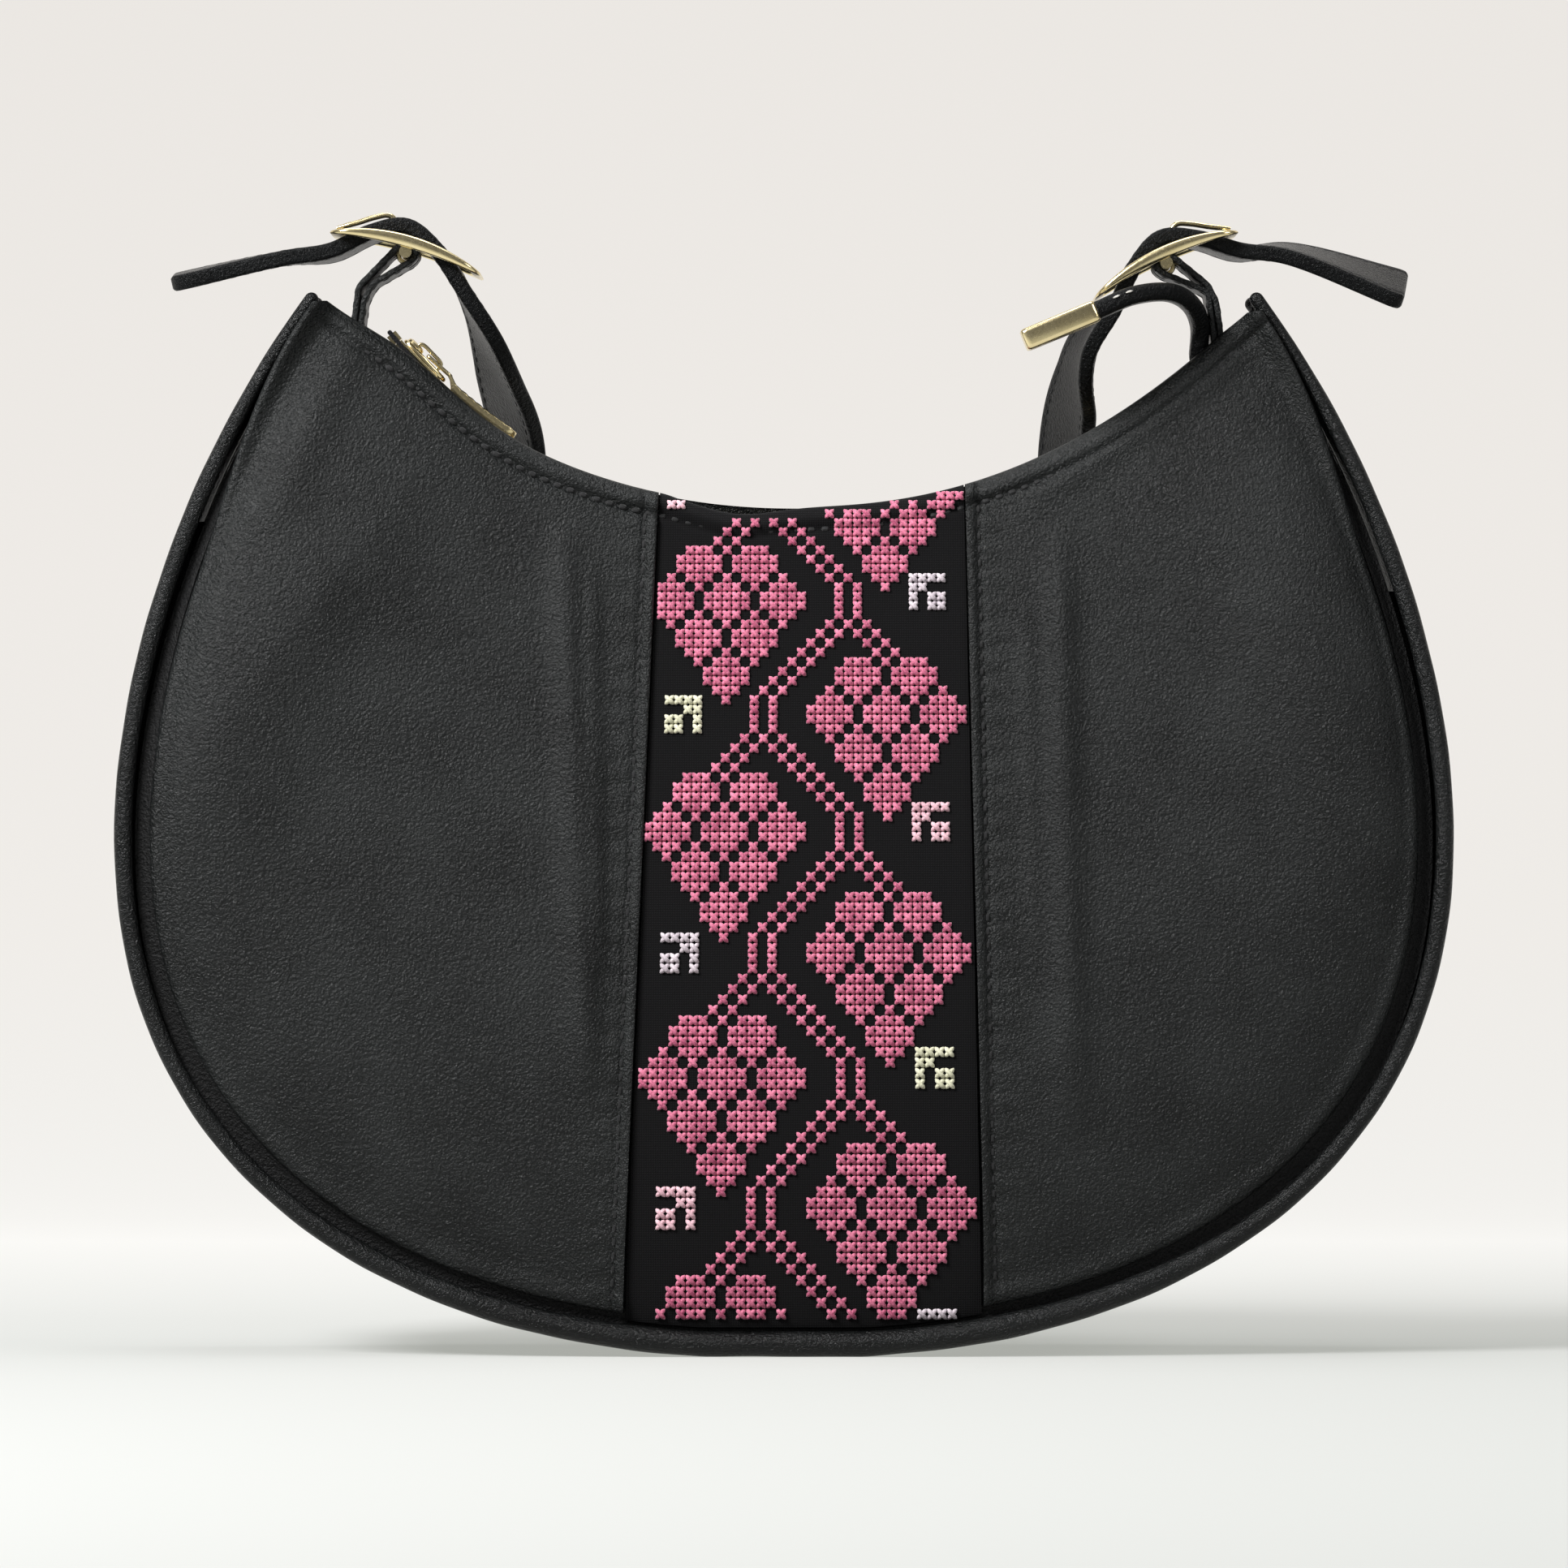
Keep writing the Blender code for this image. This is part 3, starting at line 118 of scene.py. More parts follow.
SLIDER_BOSS_LEVELS = ((-SLIDER_OVERLAP, 1.0), (0.0006, 0.94), (0.0010, 0.66))
LIP_ENDS = (-0.40, 0.36)
LIP_SECTION = (0.00045, 0.00042, 0.0002)
LIP_INSET = 0.0006
LIP_SPREAD_SHARE = 0.89
LIP_RISE = 0.00105
PULLER_LENGTH = 0.0300
PULLER_HALF_WIDTH = 0.0034
PULLER_TIP_HALF_WIDTH = 0.0029
PULLER_THICKNESS = 0.0010
PULLER_TILT = math.radians(4.2)
PULLER_DIP = 0.0016
PULLER_SLOPE = 0.0734
PULLER_EYE = (0.0042, 0.0010, 0.0037)
PULLER_HOLE = (0.0027, 0.0017, 0.0008, 0.0031)
PULLER_NECK = 0.0066
PULLER_THICKER = 0.0014
PULLER_RIB = 0.00016
PULLER_RIB_PITCH = 0.0024
PULLER_ROUND = 0.0025
PULLER_BEND = 0.005
PULLER_SWELL_START = 0.008
PULLER_SWELL_LENGTH = 0.004
PULLER_RIB_START = 0.010
PULLER_CORNER_SHARE = 0.3
PULLER_END_NARROW_SHARE = 0.9
PULLER_END_THIN_SHARE = 0.6
TAIL_HALF_WIDTH = 0.0046
TAIL_THICKNESS = 0.0040
TAIL_SIDE = 0.0258
TAIL_CAP_LENGTH = 0.0200
TAIL_CAP_THICKNESS = 0.0056
TAIL_CAP_HALF_WIDTH = 0.0056
TAIL_CAP_CORNER = 0.0012
TAIL_CAP_STOPS = (0, 0.012, 0.04, 0.08, 0.5, 0.92, 0.96, 0.988, 1)
TAIL_CAP_SHARES = (0.86, 0.94, 0.985, 1, 1, 1, 0.985, 0.94, 0.86)
TAIL_PUFF_SHARE = 0.58
TAIL_CORNER = 0.0019
TAIL_STITCH_DROP = 0.0011
TAIL_STITCH_LENGTH = 0.0018
TAIL_THREAD_RADIUS = 0.00026
TAIL_ROUTE = (
    (0.1060, -0.0042, 0.2545), (0.1062, -0.0070, 0.2620), (0.1035, -0.0140, 0.2675),
    (0.0975, -0.0215, 0.2702), (0.0885, -TAIL_SIDE, 0.2692), (0.0796, -TAIL_SIDE, 0.2655),
)

# Strap and buckles
STRAP_HALF_WIDTH = 0.0125
STRAP_THICKNESS = 0.0040
STRAP_LEFT_TAIL = ((-0.0559, -0.0231), (-0.0300, -0.0092))
STRAP_RIGHT_TAIL = ((-0.0533, -0.0312), (-0.0300, -0.0100))
STRAP_THREADED = (
    (-0.0185, -0.0044), (-0.0100, 0.0029), (-0.0016, 0.0069), (0.0074, 0.0031),
    (0.0162, -0.0043),
)
STRAP_LEFT_TAIL_ROLLS = (math.radians(6), math.radians(3))
STRAP_RIGHT_TAIL_ROLLS = (math.radians(20), math.radians(8))
STRAP_LEFT_LEG = (
    (-0.0765, 0.0050, 0.2615, math.radians(-8)),
    (-0.0725, 0.0188, 0.2490, math.radians(-22)),
    (-0.0692, 0.0330, 0.2320, math.radians(-28)),
    (-0.0685, 0.0415, 0.1950, math.radians(-18)),
    (-0.0700, 0.0470, 0.1450, math.radians(-10)),
    (-0.0560, 0.0500, 0.1080, math.radians(-5)),
)
STRAP_RIGHT_LEG = (
    (0.0790, 0.0050, 0.2585, math.radians(8)),
    (0.0757, 0.0190, 0.2465, math.radians(22)),
    (0.0735, 0.0335, 0.2310, math.radians(28)),
    (0.0722, 0.0415, 0.1950, math.radians(18)),
    (0.0715, 0.0470, 0.1450, math.radians(10)),
    (0.0570, 0.0500, 0.1080, math.radians(5)),
)
STRAP_BOTTOM = (0.0, 0.0505, 0.0840, 0.0)
STRAP_STEPS_PER_SPAN = 20
STRAP_CORNER = 0.0009
STRAP_STITCH = 0.0024
STRAP_GROOVE = 0.0002
STRAP_SLOT_HALF_SIZES = (0.0033, 0.0014, 0.0010)
STRAP_SLOT_MIDDLE = 0.0041
STRAP_STEP = 0.0012
STRAP_END_THIN_SHARE = 0.35
STRAP_LEFT_ROUNDING = (0.0100, 0.55)
STRAP_RIGHT_ROUNDING = (0.0040, 0.22)
STRAP_CUT_LOW = 0.0002
STRAP_CUT_HIGH = 0.004
STRAP_BEHIND = 0.04
STRAP_THREAD_SINK = 0.0001
BUCKLE_HALF_LENGTH = 0.0200
BUCKLE_HALF_WIDTH = 0.0166
BUCKLE_RAIL = 0.0032
BUCKLE_END_BAR = 0.0030
BUCKLE_CORNER = 0.0050
BUCKLE_BOW_TOP = 0.0042
BUCKLE_BOW_BOTTOM = 0.0019
BUCKLE_END_HALF_THICKNESS = 0.00045
BAR_RADIUS = 0.0016
BAR_RISE = 0.0004
BUCKLE_LEFT_PLACE = (-0.09665, 0.2807)
BUCKLE_RIGHT_PLACE = (0.0977, 0.2779)
BUCKLE_LEFT_TILT = math.radians(15.9)
BUCKLE_RIGHT_TILT = math.radians(24.6)
PRONG_RADIUS = 0.00075
PRONG_CLEARANCE = 0.0001
PRONG_CURL_WALL = 0.0012
PRONG_CURL_HALF_WIDTH = 0.0013
PRONG_CURL_CORNER = 0.0003
PRONG_TAPER_SHARES = (1, 0.95, 0.6)
PRONG_ROOT_ANGLE = math.radians(50)
PRONG_ROUTE = (
    (-0.0048, 0.0054), (-0.0056, 0.0080), (-0.0074, 0.0087), (-0.0105, 0.0073),
    (-0.0145, 0.0047), (-0.0193, 0.0019),
)
TAB_HALF_WIDTH = 0.0098
TAB_LEATHER = 0.0015
TAB_CLEARANCE = 0.0002
TAB_SLOT_HALF_WIDTH = 0.0017
TAB_CORNER = 0.0005
TAB_STITCH = 0.0022
TAB_STEP = 0.0004
TAB_SMOOTHINGS = 8
TAB_LEFT_APEX = (-0.1078, 0.2722)
TAB_RIGHT_APEX = (0.1092, 0.2712)
TAB_LEFT_FOOT = (-0.1108, 0.2480)
TAB_RIGHT_FOOT = (0.1122, 0.2480)

# Leather's edges, seams and soft forms
EDGE_ROUND = 0.0008
MOUTH_STITCH = 0.0058
SEAM_STITCH = 0.0034
STITCH_PITCH = 0.0035
SEAM_OPEN = 0.0017
EDGE_FADE = 0.020
CORNER_COVER = 0.0048
CORNER_LIFT = 0.0030
CORNER_START_SHARE = 0.80
CORD_LOW = 0.0032
CORD_SIDE = 0.0023
CORD_TIP = 0.0018
WELT_DEPTH = 0.0014
STITCH_LENGTH = 0.0022
THREAD_RADIUS = 0.00038
GROOVE_DEPTH = 0.00075
GROOVE_WIDTH = 0.0009
EDGE_PUFF = 0.0010
SEAM_PUFF = 0.0009
BAND_SAG = 0.0025
BAND_SAG_PLACE = -0.012
BAND_SAG_SPREAD = 0.013
BAND_SAG_EDGE = 0.006
SWELL = 0.00035
COVER_REACH = 0.009
COVER_START_SHARE = 1.15
CORD_CHANGE_SHARE = 0.15
CORD_CHANGE_SPREAD_SHARE = 0.3
RIDGE_START = 0.008
WELT_OVERLAP = 0.0015
WELT_REACH_SHARE = 1.7
FLUSH_THREAD = 0.0002
ROW_END = 0.004
GUSSET_WAVE = 0.00025
LINING_FOLD = 0.0012
POCKET_GAPE = 0.0010
MOUTH_ZONE = 0.010
SEAM_ZONE = 0.006
MOUTH_ZONE_SHARE = 0.3
SEAM_ZONE_SHARE = 0.2
PANEL_ZONE = 0.005
WELT_ZONE = 0.004
BAND_ZONE = 0.003
SEAM_PUFF_SPREAD_SHARE = 0.7
RIDGE_FADE_SHARE = 0.3
RIDGE_HOLD_SHARE = 0.4
CORD_SWELL = 0.02
CORD_FINE_SWELL = 0.015
CLOSED_SHARE = 0.02
POCKET_GAPE_SPREAD = 0.05
SECTION_GROOVE_SPREAD = 0.0005
THREAD_TAPER_SHARE = 0.82
THREAD_DIP_SHARE = 0.7
STITCH_RISE = 0.00022
STITCH_LEAN = 0.3
SAG_STITCH_SHARE = 0.4
MOUTH_THREAD_WIDTH_SHARE = 1.7
SEAM_THREAD_WIDTH_SHARE = 1.3
SEAM_ROW_ENDS = (0.006, 0.985)

# Creases and swells of the front: two ends (x, z), half width and height
FRONT_RIDGES = (
    ((-0.1080, 0.2640), (-0.1320, 0.2110), 0.0060, 0.0014),
    ((-0.0560, 0.2080), (-0.0500, 0.0700), 0.0038, 0.0021),
    ((-0.0490, 0.2000), (-0.0470, 0.1000), 0.0020, 0.0011),
    ((0.0700, 0.2080), (0.0730, 0.0600), 0.0038, 0.0020),
    ((0.0615, 0.1900), (0.0640, 0.1000), 0.0020, 0.0006),
    ((0.0630, 0.2170), (0.1180, 0.2560), 0.0035, 0.0010),
    ((-0.1050, 0.1900), (-0.1300, 0.1100), 0.0110, -0.0006),
    ((0.1050, 0.2050), (0.1300, 0.1250), 0.0110, -0.0006),
)

# Camera and studio
VIEW_DISTANCE = 2.6
VIEW_HEIGHT = 0.1453
FRAME_WIDTH = 0.4020
SENSOR_WIDTH = 36.0
LAMPS = (
    ("key", (-0.80, -0.70, 1.00), (-0.05, 0, 0.22), (0.45, 0.45), 33.0),
    ("fill", (1.2, -0.8, 1.0), (0, 0, 0.14), (0.7, 0.6), 7.0),
    ("top", (0.0, 0.10, 1.5), (0, 0, 0.2), (0.9, 0.7), 9.0),
)
WORLD_COLOUR = (0.93, 0.94, 0.95, 1)
WORLD_STRENGTH = 0.13
BACKDROP_REACH = 5.0
BACKDROP_START = 0.8
BACKDROP_RADIUS = 2.4
BACKDROP_FLOOR_STOPS = (-1.0, 0.0, 0.4)
BACKDROP_WALL_STOPS = (1.0, 3.0)
BACKDROP_FADE = 0.42
# Glow colours by height up the backdrop, painted light: dimmest on the floor and paler up the
# wall
BACKDROP_COLOURS = (
    (0.0, (0.40, 0.41, 0.38)), (0.035, (0.70, 0.69, 0.66)), (0.25, (0.72, 0.695, 0.66)),
    (0.62, (0.735, 0.705, 0.67)),
)
BACKDROP_GLOW = 1.0
BACKDROP_SHADE = (0.26, 0.26, 0.26, 1)
BACKDROP_PLAIN = (0.25, 0.25, 0.24, 1)
FLOOR_NEAR = 0.05
FLOOR_FAR = 0.90
FLOOR_RISE = 0.022

# Embroidery: the pattern's grid as it is seen from the front
PATTERN_MIDDLE = 0.0057
PATTERN_MIDDLE_COLUMN = 5.5
COLUMN_STEP_HIGH = 0.00238
COLUMN_STEP_LOW = 0.00258
COLUMN_STEP_HEIGHTS = (0.20, 0.035)
BAND_DEPTH = -0.03
ROW_BASE = 1.04358
ROW_SPREAD = 0.84657
ROW_GROWTH_SHARE = 0.0028
ROWS = (-10, 73)
REPEAT = 24
CROSS_THREAD_RADIUS = 0.00058
CROSS_RISE = 0.00050
CROSS_ARM_SHARE = 0.44
CROSS_DIP = 0.0003
CROSS_BASE_SHARE = 0.35
CROSS_FLAT_SHARE = 0.7
CROSS_SIDE_CLEARANCE = 0.0006
CROSS_TOP_CLEARANCE = 0.0012
CROSS_LOW_CLEARANCE = 0.0008


def smooth_step(t):
    t = np.clip(t, 0.0, 1.0)
    return t * t * (3 - 2 * t)


def bump(value, place, spread):
    return np.exp(-((value - place) / spread) ** 2)


def circle(count):
    return 2 * math.pi * np.arange(count) / count


def unit(vectors):
    return vectors / np.linalg.norm(vectors, axis=-1, keepdims=True)


def step_lengths(route):
    return np.linalg.norm(np.diff(route[:, :3], axis=0), axis=1)


def running(steps):
    return np.concatenate([[0], np.cumsum(steps)])


def values_at(places, along, values):
    """Each column of values at the given distances along a route."""
    return np.stack([np.interp(places, along, column) for column in values.T], axis=-1)


def rings(centres, first, second, radii, sides):
    """Circles of points round a line of centres, in the plane of two directions."""
    angle = circle(sides)[None, :, None]
    return centres[:, None] + radii[:, None, None] * (
        first[:, None] * np.cos(angle) + second[:, None] * np.sin(angle))


def without_roll(places):
    return np.concatenate([places, 0 * places[:, :1]], axis=1)


def link(name, data):
    made = bpy.data.objects.new(name, data)
    bpy.context.scene.collection.objects.link(made)
    return made


def make_outline():
    """Outer outline from the left tip round the bottom to the right tip, at even lengths."""
    reach = BODY_WIDTH / 2
    tip_turn = math.pi - math.asin((TIP_HALF_SPAN / reach) ** (UPPER_ROUNDNESS_SHARE / 2))
    turn = np.linspace(-tip_turn, tip_turn, 8 * OUTLINE_STEPS)
    lower = np.abs(turn) <= math.pi / 2
    power = np.where(lower, 2 / LOWER_ROUNDNESS_SHARE, 2 / UPPER_ROUNDNESS_SHARE)
    x = reach * np.sign(turn) * np.abs(np.sin(turn)) ** power
    height = np.where(lower, -(WIDEST_HEIGHT + FLAT_DEPTH), TIP_RISE)
    z = WIDEST_HEIGHT + height * np.abs(np.cos(turn)) ** power
    z = np.maximum(z, 0.0)
    length = running(np.hypot(np.diff(x), np.diff(z)))
    even = np.linspace(0, length[-1], OUTLINE_STEPS + 1)
    return np.interp(even, length, x), np.interp(even, length, z)


OUTLINE_X, OUTLINE_Z = make_outline()
OUTLINE_PLACES = np.arange(OUTLINE_STEPS + 1)


def outline_at(share, inset=0.0):
    """Points x, z and outward x, z of the outline at shares from -1 to 1."""
    place = (np.asarray(share, dtype=float) + 1) / 2 * OUTLINE_STEPS
    low = np.maximum(place - 1.5, 0)
    high = np.minimum(place + 1.5, OUTLINE_STEPS)
    dx = np.interp(high, OUTLINE_PLACES, OUTLINE_X) - np.interp(low, OUTLINE_PLACES, OUTLINE_X)
    dz = np.interp(high, OUTLINE_PLACES, OUTLINE_Z) - np.interp(low, OUTLINE_PLACES, OUTLINE_Z)
    length = np.hypot(dx, dz)
    out_x, out_z = dz / length, -dx / length
    x = np.interp(place, OUTLINE_PLACES, OUTLINE_X) - out_x * inset
    z = np.interp(place, OUTLINE_PLACES, OUTLINE_Z) - out_z * inset
    return x, z, out_x, out_z


def seam_half_at(share):
    grown = smooth_step((1 - np.abs(share)) / SEAM_TAPER_SHARE)
    return TIP_SEAM_HALF + (SEAM_HALF - TIP_SEAM_HALF) * grown


def mouth_height(x):
    x = np.asarray(x, dtype=float)
    left = x < MOUTH_CENTRE
    reach = np.where(left, TIP_HALF_SPAN + MOUTH_CENTRE, TIP_HALF_SPAN - MOUTH_CENTRE)
    rise = np.where(left, MOUTH_LEFT_RISE, MOUTH_RIGHT_RISE)
    place = np.abs(x - MOUTH_CENTRE) / reach
    crest = MOUTH_CREST * bump(place, MOUTH_CREST_PLACE_SHARE, MOUTH_CREST_SPREAD_SHARE)
    return MOUTH_LOW + rise * place ** MOUTH_POWER_SHARE + np.where(left, crest, 0.0)


def panel_end(sign):
    """Share of the outline where the panel's seam reaches the mouth."""
    low, high = 0.5, 1.0
    for _ in range(50):
        middle = (low + high) / 2
        x, z, _, _ = outline_at(sign * middle, PANEL_INSET)
        if z < mouth_height(x) - CORNER_DROP:
            low = middle
        else:
            high = middle
    return sign * low


def share_at_x(x):
    low = OUTLINE_Z < WIDEST_HEIGHT
    return float(np.interp(x, OUTLINE_X[low], np.linspace(-1, 1, OUTLINE_STEPS + 1)[low]))


SHARE_STOPS = [
    panel_end(-1), share_at_x(-BAND_LEFT_BOTTOM), share_at_x(BAND_RIGHT_BOTTOM), panel_end(1),
]
MOUTH_STOPS = [
    float(outline_at(SHARE_STOPS[0], PANEL_INSET)[0]) + CORNER_TRIM,
    -BAND_LEFT_TOP,
    BAND_RIGHT_TOP,
    float(outline_at(SHARE_STOPS[3], PANEL_INSET)[0]) - CORNER_TRIM,
]


def line_of(x_mouth):
    """Ends, length, half depth and share of the wall's ruled line from the mouth at x."""
    share = np.interp(x_mouth, MOUTH_STOPS, SHARE_STOPS)
    bottom_x, bottom_z, _, _ = outline_at(share, PANEL_INSET)
    top_z = mouth_height(x_mouth)
    length = np.hypot(bottom_x - x_mouth, bottom_z - top_z)
    return bottom_x, bottom_z, top_z, length, seam_half_at(share), share


def line_length(x_mouth):
    return line_of(x_mouth)[3]


def over_band(side, x_mouth):
    return (side < 0) & (x_mouth > -BAND_LEFT_TOP) & (x_mouth < BAND_RIGHT_TOP)


def wall(side, x_mouth, v, lift=0.0):
    """Points of the front (side -1) or back (side 1) wall, v from mouth 0 to seam 1."""
    x_mouth, v = np.broadcast_arrays(np.asarray(x_mouth, dtype=float), v)
    bottom_x, bottom_z, top_z, length, seam, _ = line_of(x_mouth)
    swell = BELLY * np.minimum(1.0, length / WIDEST_HEIGHT)
    bulge = swell * np.clip(4 * v * (1 - v), 0, 1) ** BELLY_POWER_SHARE
    depth = MOUTH_HALF + (seam - MOUTH_HALF) * smooth_step(v) + bulge + lift
    return np.stack([x_mouth + (bottom_x - x_mouth) * v, side * depth,
                     top_z + (bottom_z - top_z) * v], axis=-1)


def locate(x, z):
    """Mouth x and share v of the wall's point at x, z."""
    x_mouth = np.array(x, dtype=float)
    for _ in range(12):
        found = []
        for probe in (x_mouth, x_mouth + GAP):
            bottom_x, bottom_z, top_z, _, _, _ = line_of(probe)
            v = np.clip((top_z - z) / (top_z - bottom_z), 0, 1)
            found.append((v, probe + (bottom_x - probe) * v))
        slope = np.maximum((found[1][1] - found[0][1]) / GAP, 0.3)
        x_mouth = np.clip(x_mouth + (x - found[0][1]) / slope, MOUTH_STOPS[0], MOUTH_STOPS[3])
    return x_mouth, found[0][0]


def line_distance(x, z, start, end):
    """Distance from a segment, and the share along it."""
    dx, dz = end[0] - start[0], end[1] - start[1]
    along = ((x - start[0]) * dx + (z - start[1]) * dz) / (dx * dx + dz * dz)
    held = np.clip(along, 0, 1)
    return np.hypot(x - start[0] - dx * held, z - start[1] - dz * held), along


def ripple(x, z):
    """Small uneven swells, the same each time."""
    waves = ((41, 17, 0.4), (23, -37, 1.9), (67, 29, 3.1), (-51, 61, 4.7), (97, -83, 0.9))
    total = 0.0
    for a, b, phase in waves:
        total = total + np.sin(a * x + b * z + phase) * 40 / (abs(a) + abs(b))
    return total / len(waves)


def corner_share(share):
    """Rises from 0 along the sides to 1 at the corners."""
    reach = SHARE_STOPS[3] - CORNER_START_SHARE
    return smooth_step((np.abs(share) - CORNER_START_SHARE) / reach)


def edge_shift(share):
    """The panel's edge stands inside its seam line, and at the corners over the cord."""
    return -SEAM_OPEN + (SEAM_OPEN + CORNER_COVER) * corner_share(share)


def edge_push(x_mouth, v):
    """Shift of the wall near its seam, along the outline's outward direction."""
    _, _, _, length, _, share = line_of(x_mouth)
    _, _, out_x, out_z = outline_at(share)
    shift = edge_shift(share) * smooth_step(1 - (1 - v) * length / EDGE_FADE)
    return np.stack([out_x * shift, 0 * shift, out_z * shift], axis=-1)


def cord_radius(share):
    side = smooth_step((np.abs(share) - CORD_CHANGE_SHARE) / CORD_CHANGE_SPREAD_SHARE)
    return CORD_LOW + (CORD_SIDE - CORD_LOW) * side + (CORD_TIP - CORD_SIDE) * (
        corner_share(share))


def cover_lift(x_mouth, v):
    """Rise of the leather where it passes over the cord at the corners."""
    _, _, _, length, _, share = line_of(x_mouth)
    from_end = (1 - v) * length
    return CORNER_LIFT * corner_share(share) * (
        smooth_step(COVER_START_SHARE - from_end / COVER_REACH))


def leather_lift(side, x_mouth, v, seams):
    """How far the leather stands proud of the plain wall: folds, turned edges and seams."""
    length = line_length(x_mouth)
    point = wall(side, x_mouth, v)
    x, z = point[..., 0], point[..., 2]
    from_mouth = v * length
    from_seam = (1 - v) * length
    lift = cover_lift(x_mouth, v)
    lift += SWELL * ripple(x, z) * smooth_step(from_mouth / MOUTH_STITCH)
    lift += EDGE_PUFF * bump(from_mouth, MOUTH_STITCH / 2, MOUTH_STITCH / 3)
    lift -= GROOVE_DEPTH * bump(from_mouth, MOUTH_STITCH, GROOVE_WIDTH)
    lift += EDGE_PUFF * bump(from_seam, SEAM_STITCH / 2, SEAM_STITCH)
    edges = [from_mouth, from_seam]
    for seam_x in seams:
        gap = np.abs(x - wall(side, seam_x, v)[..., 0])
        edges.append(gap)
        lift += SEAM_PUFF * bump(gap, SEAM_STITCH / 3, SEAM_STITCH * SEAM_PUFF_SPREAD_SHARE)
        lift -= GROOVE_DEPTH * bump(gap, SEAM_STITCH, GROOVE_WIDTH)
        pucker = np.sin(2 * math.pi * z / (2 * STITCH_PITCH))
        lift += GROOVE_DEPTH / 3 * pucker * bump(gap, SEAM_STITCH * 2, SEAM_STITCH)
    if side < 0:
        for start, end, width, height in FRONT_RIDGES:
            distance, along = line_distance(x, z, start, end)
            fade = smooth_step((0.5 - np.abs(along - 0.5)) / RIDGE_FADE_SHARE
                               + RIDGE_HOLD_SHARE)
            lift += height * bump(distance, 0, width) * fade * (
                smooth_step(from_mouth / RIDGE_START))
    for edge in edges:
        inside = np.clip(EDGE_ROUND - edge, 0, EDGE_ROUND)
        lift -= EDGE_ROUND - np.sqrt(EDGE_ROUND ** 2 - inside ** 2)
    return lift


def grid_faces(rows, columns, closed_rows=False, closed_columns=False):
    i, j = np.meshgrid(np.arange(rows if closed_rows else rows - 1),
                       np.arange(columns if closed_columns else columns - 1), indexing="ij")
    i, j = i.ravel(), j.ravel()
    ni, nj = (i + 1) % rows, (j + 1) % columns
    return np.stack([i * columns + j, i * columns + nj, ni * columns + nj, ni * columns + j],
                    axis=1)


class Shape:
    """Collects points and faces of one piece."""

    def __init__(self):
        self.points = []
        self.faces = []
        self.count = 0

    def add(self, points, faces):
        points = np.asarray(points, dtype=float).reshape(-1, 3)
        self.points.append(points)
        self.faces += [tuple(int(i) + self.count for i in face) for face in faces]
        self.count += len(points)
        return self

    def grid(self, grid, closed_rows=False, closed_columns=False, caps=False):
        rows, columns = grid.shape[:2]
        faces = grid_faces(rows, columns, closed_rows, closed_columns).tolist()
        if caps:
            faces.append(list(range(columns))[::-1])
            faces.append([(rows - 1) * columns + j for j in range(columns)])
        return self.add(grid, faces)

    def shell(self, outer, inner):
        """Two matching grids, closed round their rim."""
        rows, columns = outer.shape[:2]
        count = rows * columns
        faces = grid_faces(rows, columns).tolist()
        faces += [[count + i for i in reversed(face)] for face in faces]
        rim = list(range(columns)) + [i * columns + columns - 1 for i in range(1, rows)]
        rim += [(rows - 1) * columns + j for j in range(columns - 2, -1, -1)]
        rim += [i * columns for i in range(rows - 2, 0, -1)]
        faces += [(b, a, count + a, count + b) for a, b in zip(rim, rim[1:] + rim[:1])]
        return self.add(np.concatenate([outer.reshape(-1, 3), inner.reshape(-1, 3)]), faces)

    def build(self, name, material, body, nodes=(), sharp=40, hinge=None, slot=None):
        points = np.concatenate(self.points)
        origin = np.array(hinge if hinge is not None else (0.0, 0.0, 0.0))
        mesh = bpy.data.meshes.new(name)
        mesh.from_pydata((points - origin).tolist(), [], self.faces)
        bm = bmesh.new()
        bm.from_mesh(mesh)
        bmesh.ops.recalc_face_normals(bm, faces=bm.faces)
        bm.to_mesh(mesh)
        bm.free()
        mesh.shade_smooth()
        mesh.set_sharp_from_angle(angle=math.radians(sharp))
        mesh.materials.append(material)
        piece = link(name, mesh)
        piece.location = origin
        if body:
            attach(piece, body)
        if nodes:
            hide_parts(*nodes)
        slot or material["slot"]
        return piece


def add_node(material, kind, **values):
    """Shader node with its inputs set by name; a socket given as a value is linked."""
    tree = material.node_tree
    made = tree.nodes.new("ShaderNode" + kind)
    for key, value in values.items():
        if key in ("operation", "blend_type", "feature", "bands_direction", "data_type"):
            setattr(made, key, value)
            continue
        entry = made.inputs[int(key[1:]) if key[1:].isdigit() else key.replace("_", " ")]
        if isinstance(value, bpy.types.NodeSocket):
            tree.links.new(value, entry)
        else:
            entry.default_value = value
    return made


def make_material(name, slot, roughness, metallic=0.0, **values):
    material = bpy.data.materials.new(name)
    material.use_nodes = True
    material["slot"] = slot
    shader = material.node_tree.nodes["Principled BSDF"]
    shader.inputs["Roughness"].default_value = roughness
    shader.inputs["Metallic"].default_value = metallic
    for key, value in values.items():
        shader.inputs[key.replace("_", " ")].default_value = value
    place = add_node(material, "TexCoord").outputs["Object"]
    return material, shader, place


def noise(material, place, scale, detail, **values):
    return add_node(material, "TexNoise", Vector=place, Scale=scale, Detail=detail,
                    **values).outputs[0]


def combine(material, operation, first, second, third=None):
    """Value of a node of arithmetic."""
    values = {"_0": first, "_1": second}
    if third is not None:
        values["_2"] = third
    return add_node(material, "Math", operation=operation, **values).outputs[0]


def stretch(material, value, low, high):
    """The value's range from low to high, as 0 to 1."""
    return add_node(material, "MapRange", Value=value, From_Min=low, From_Max=high).outputs[0]


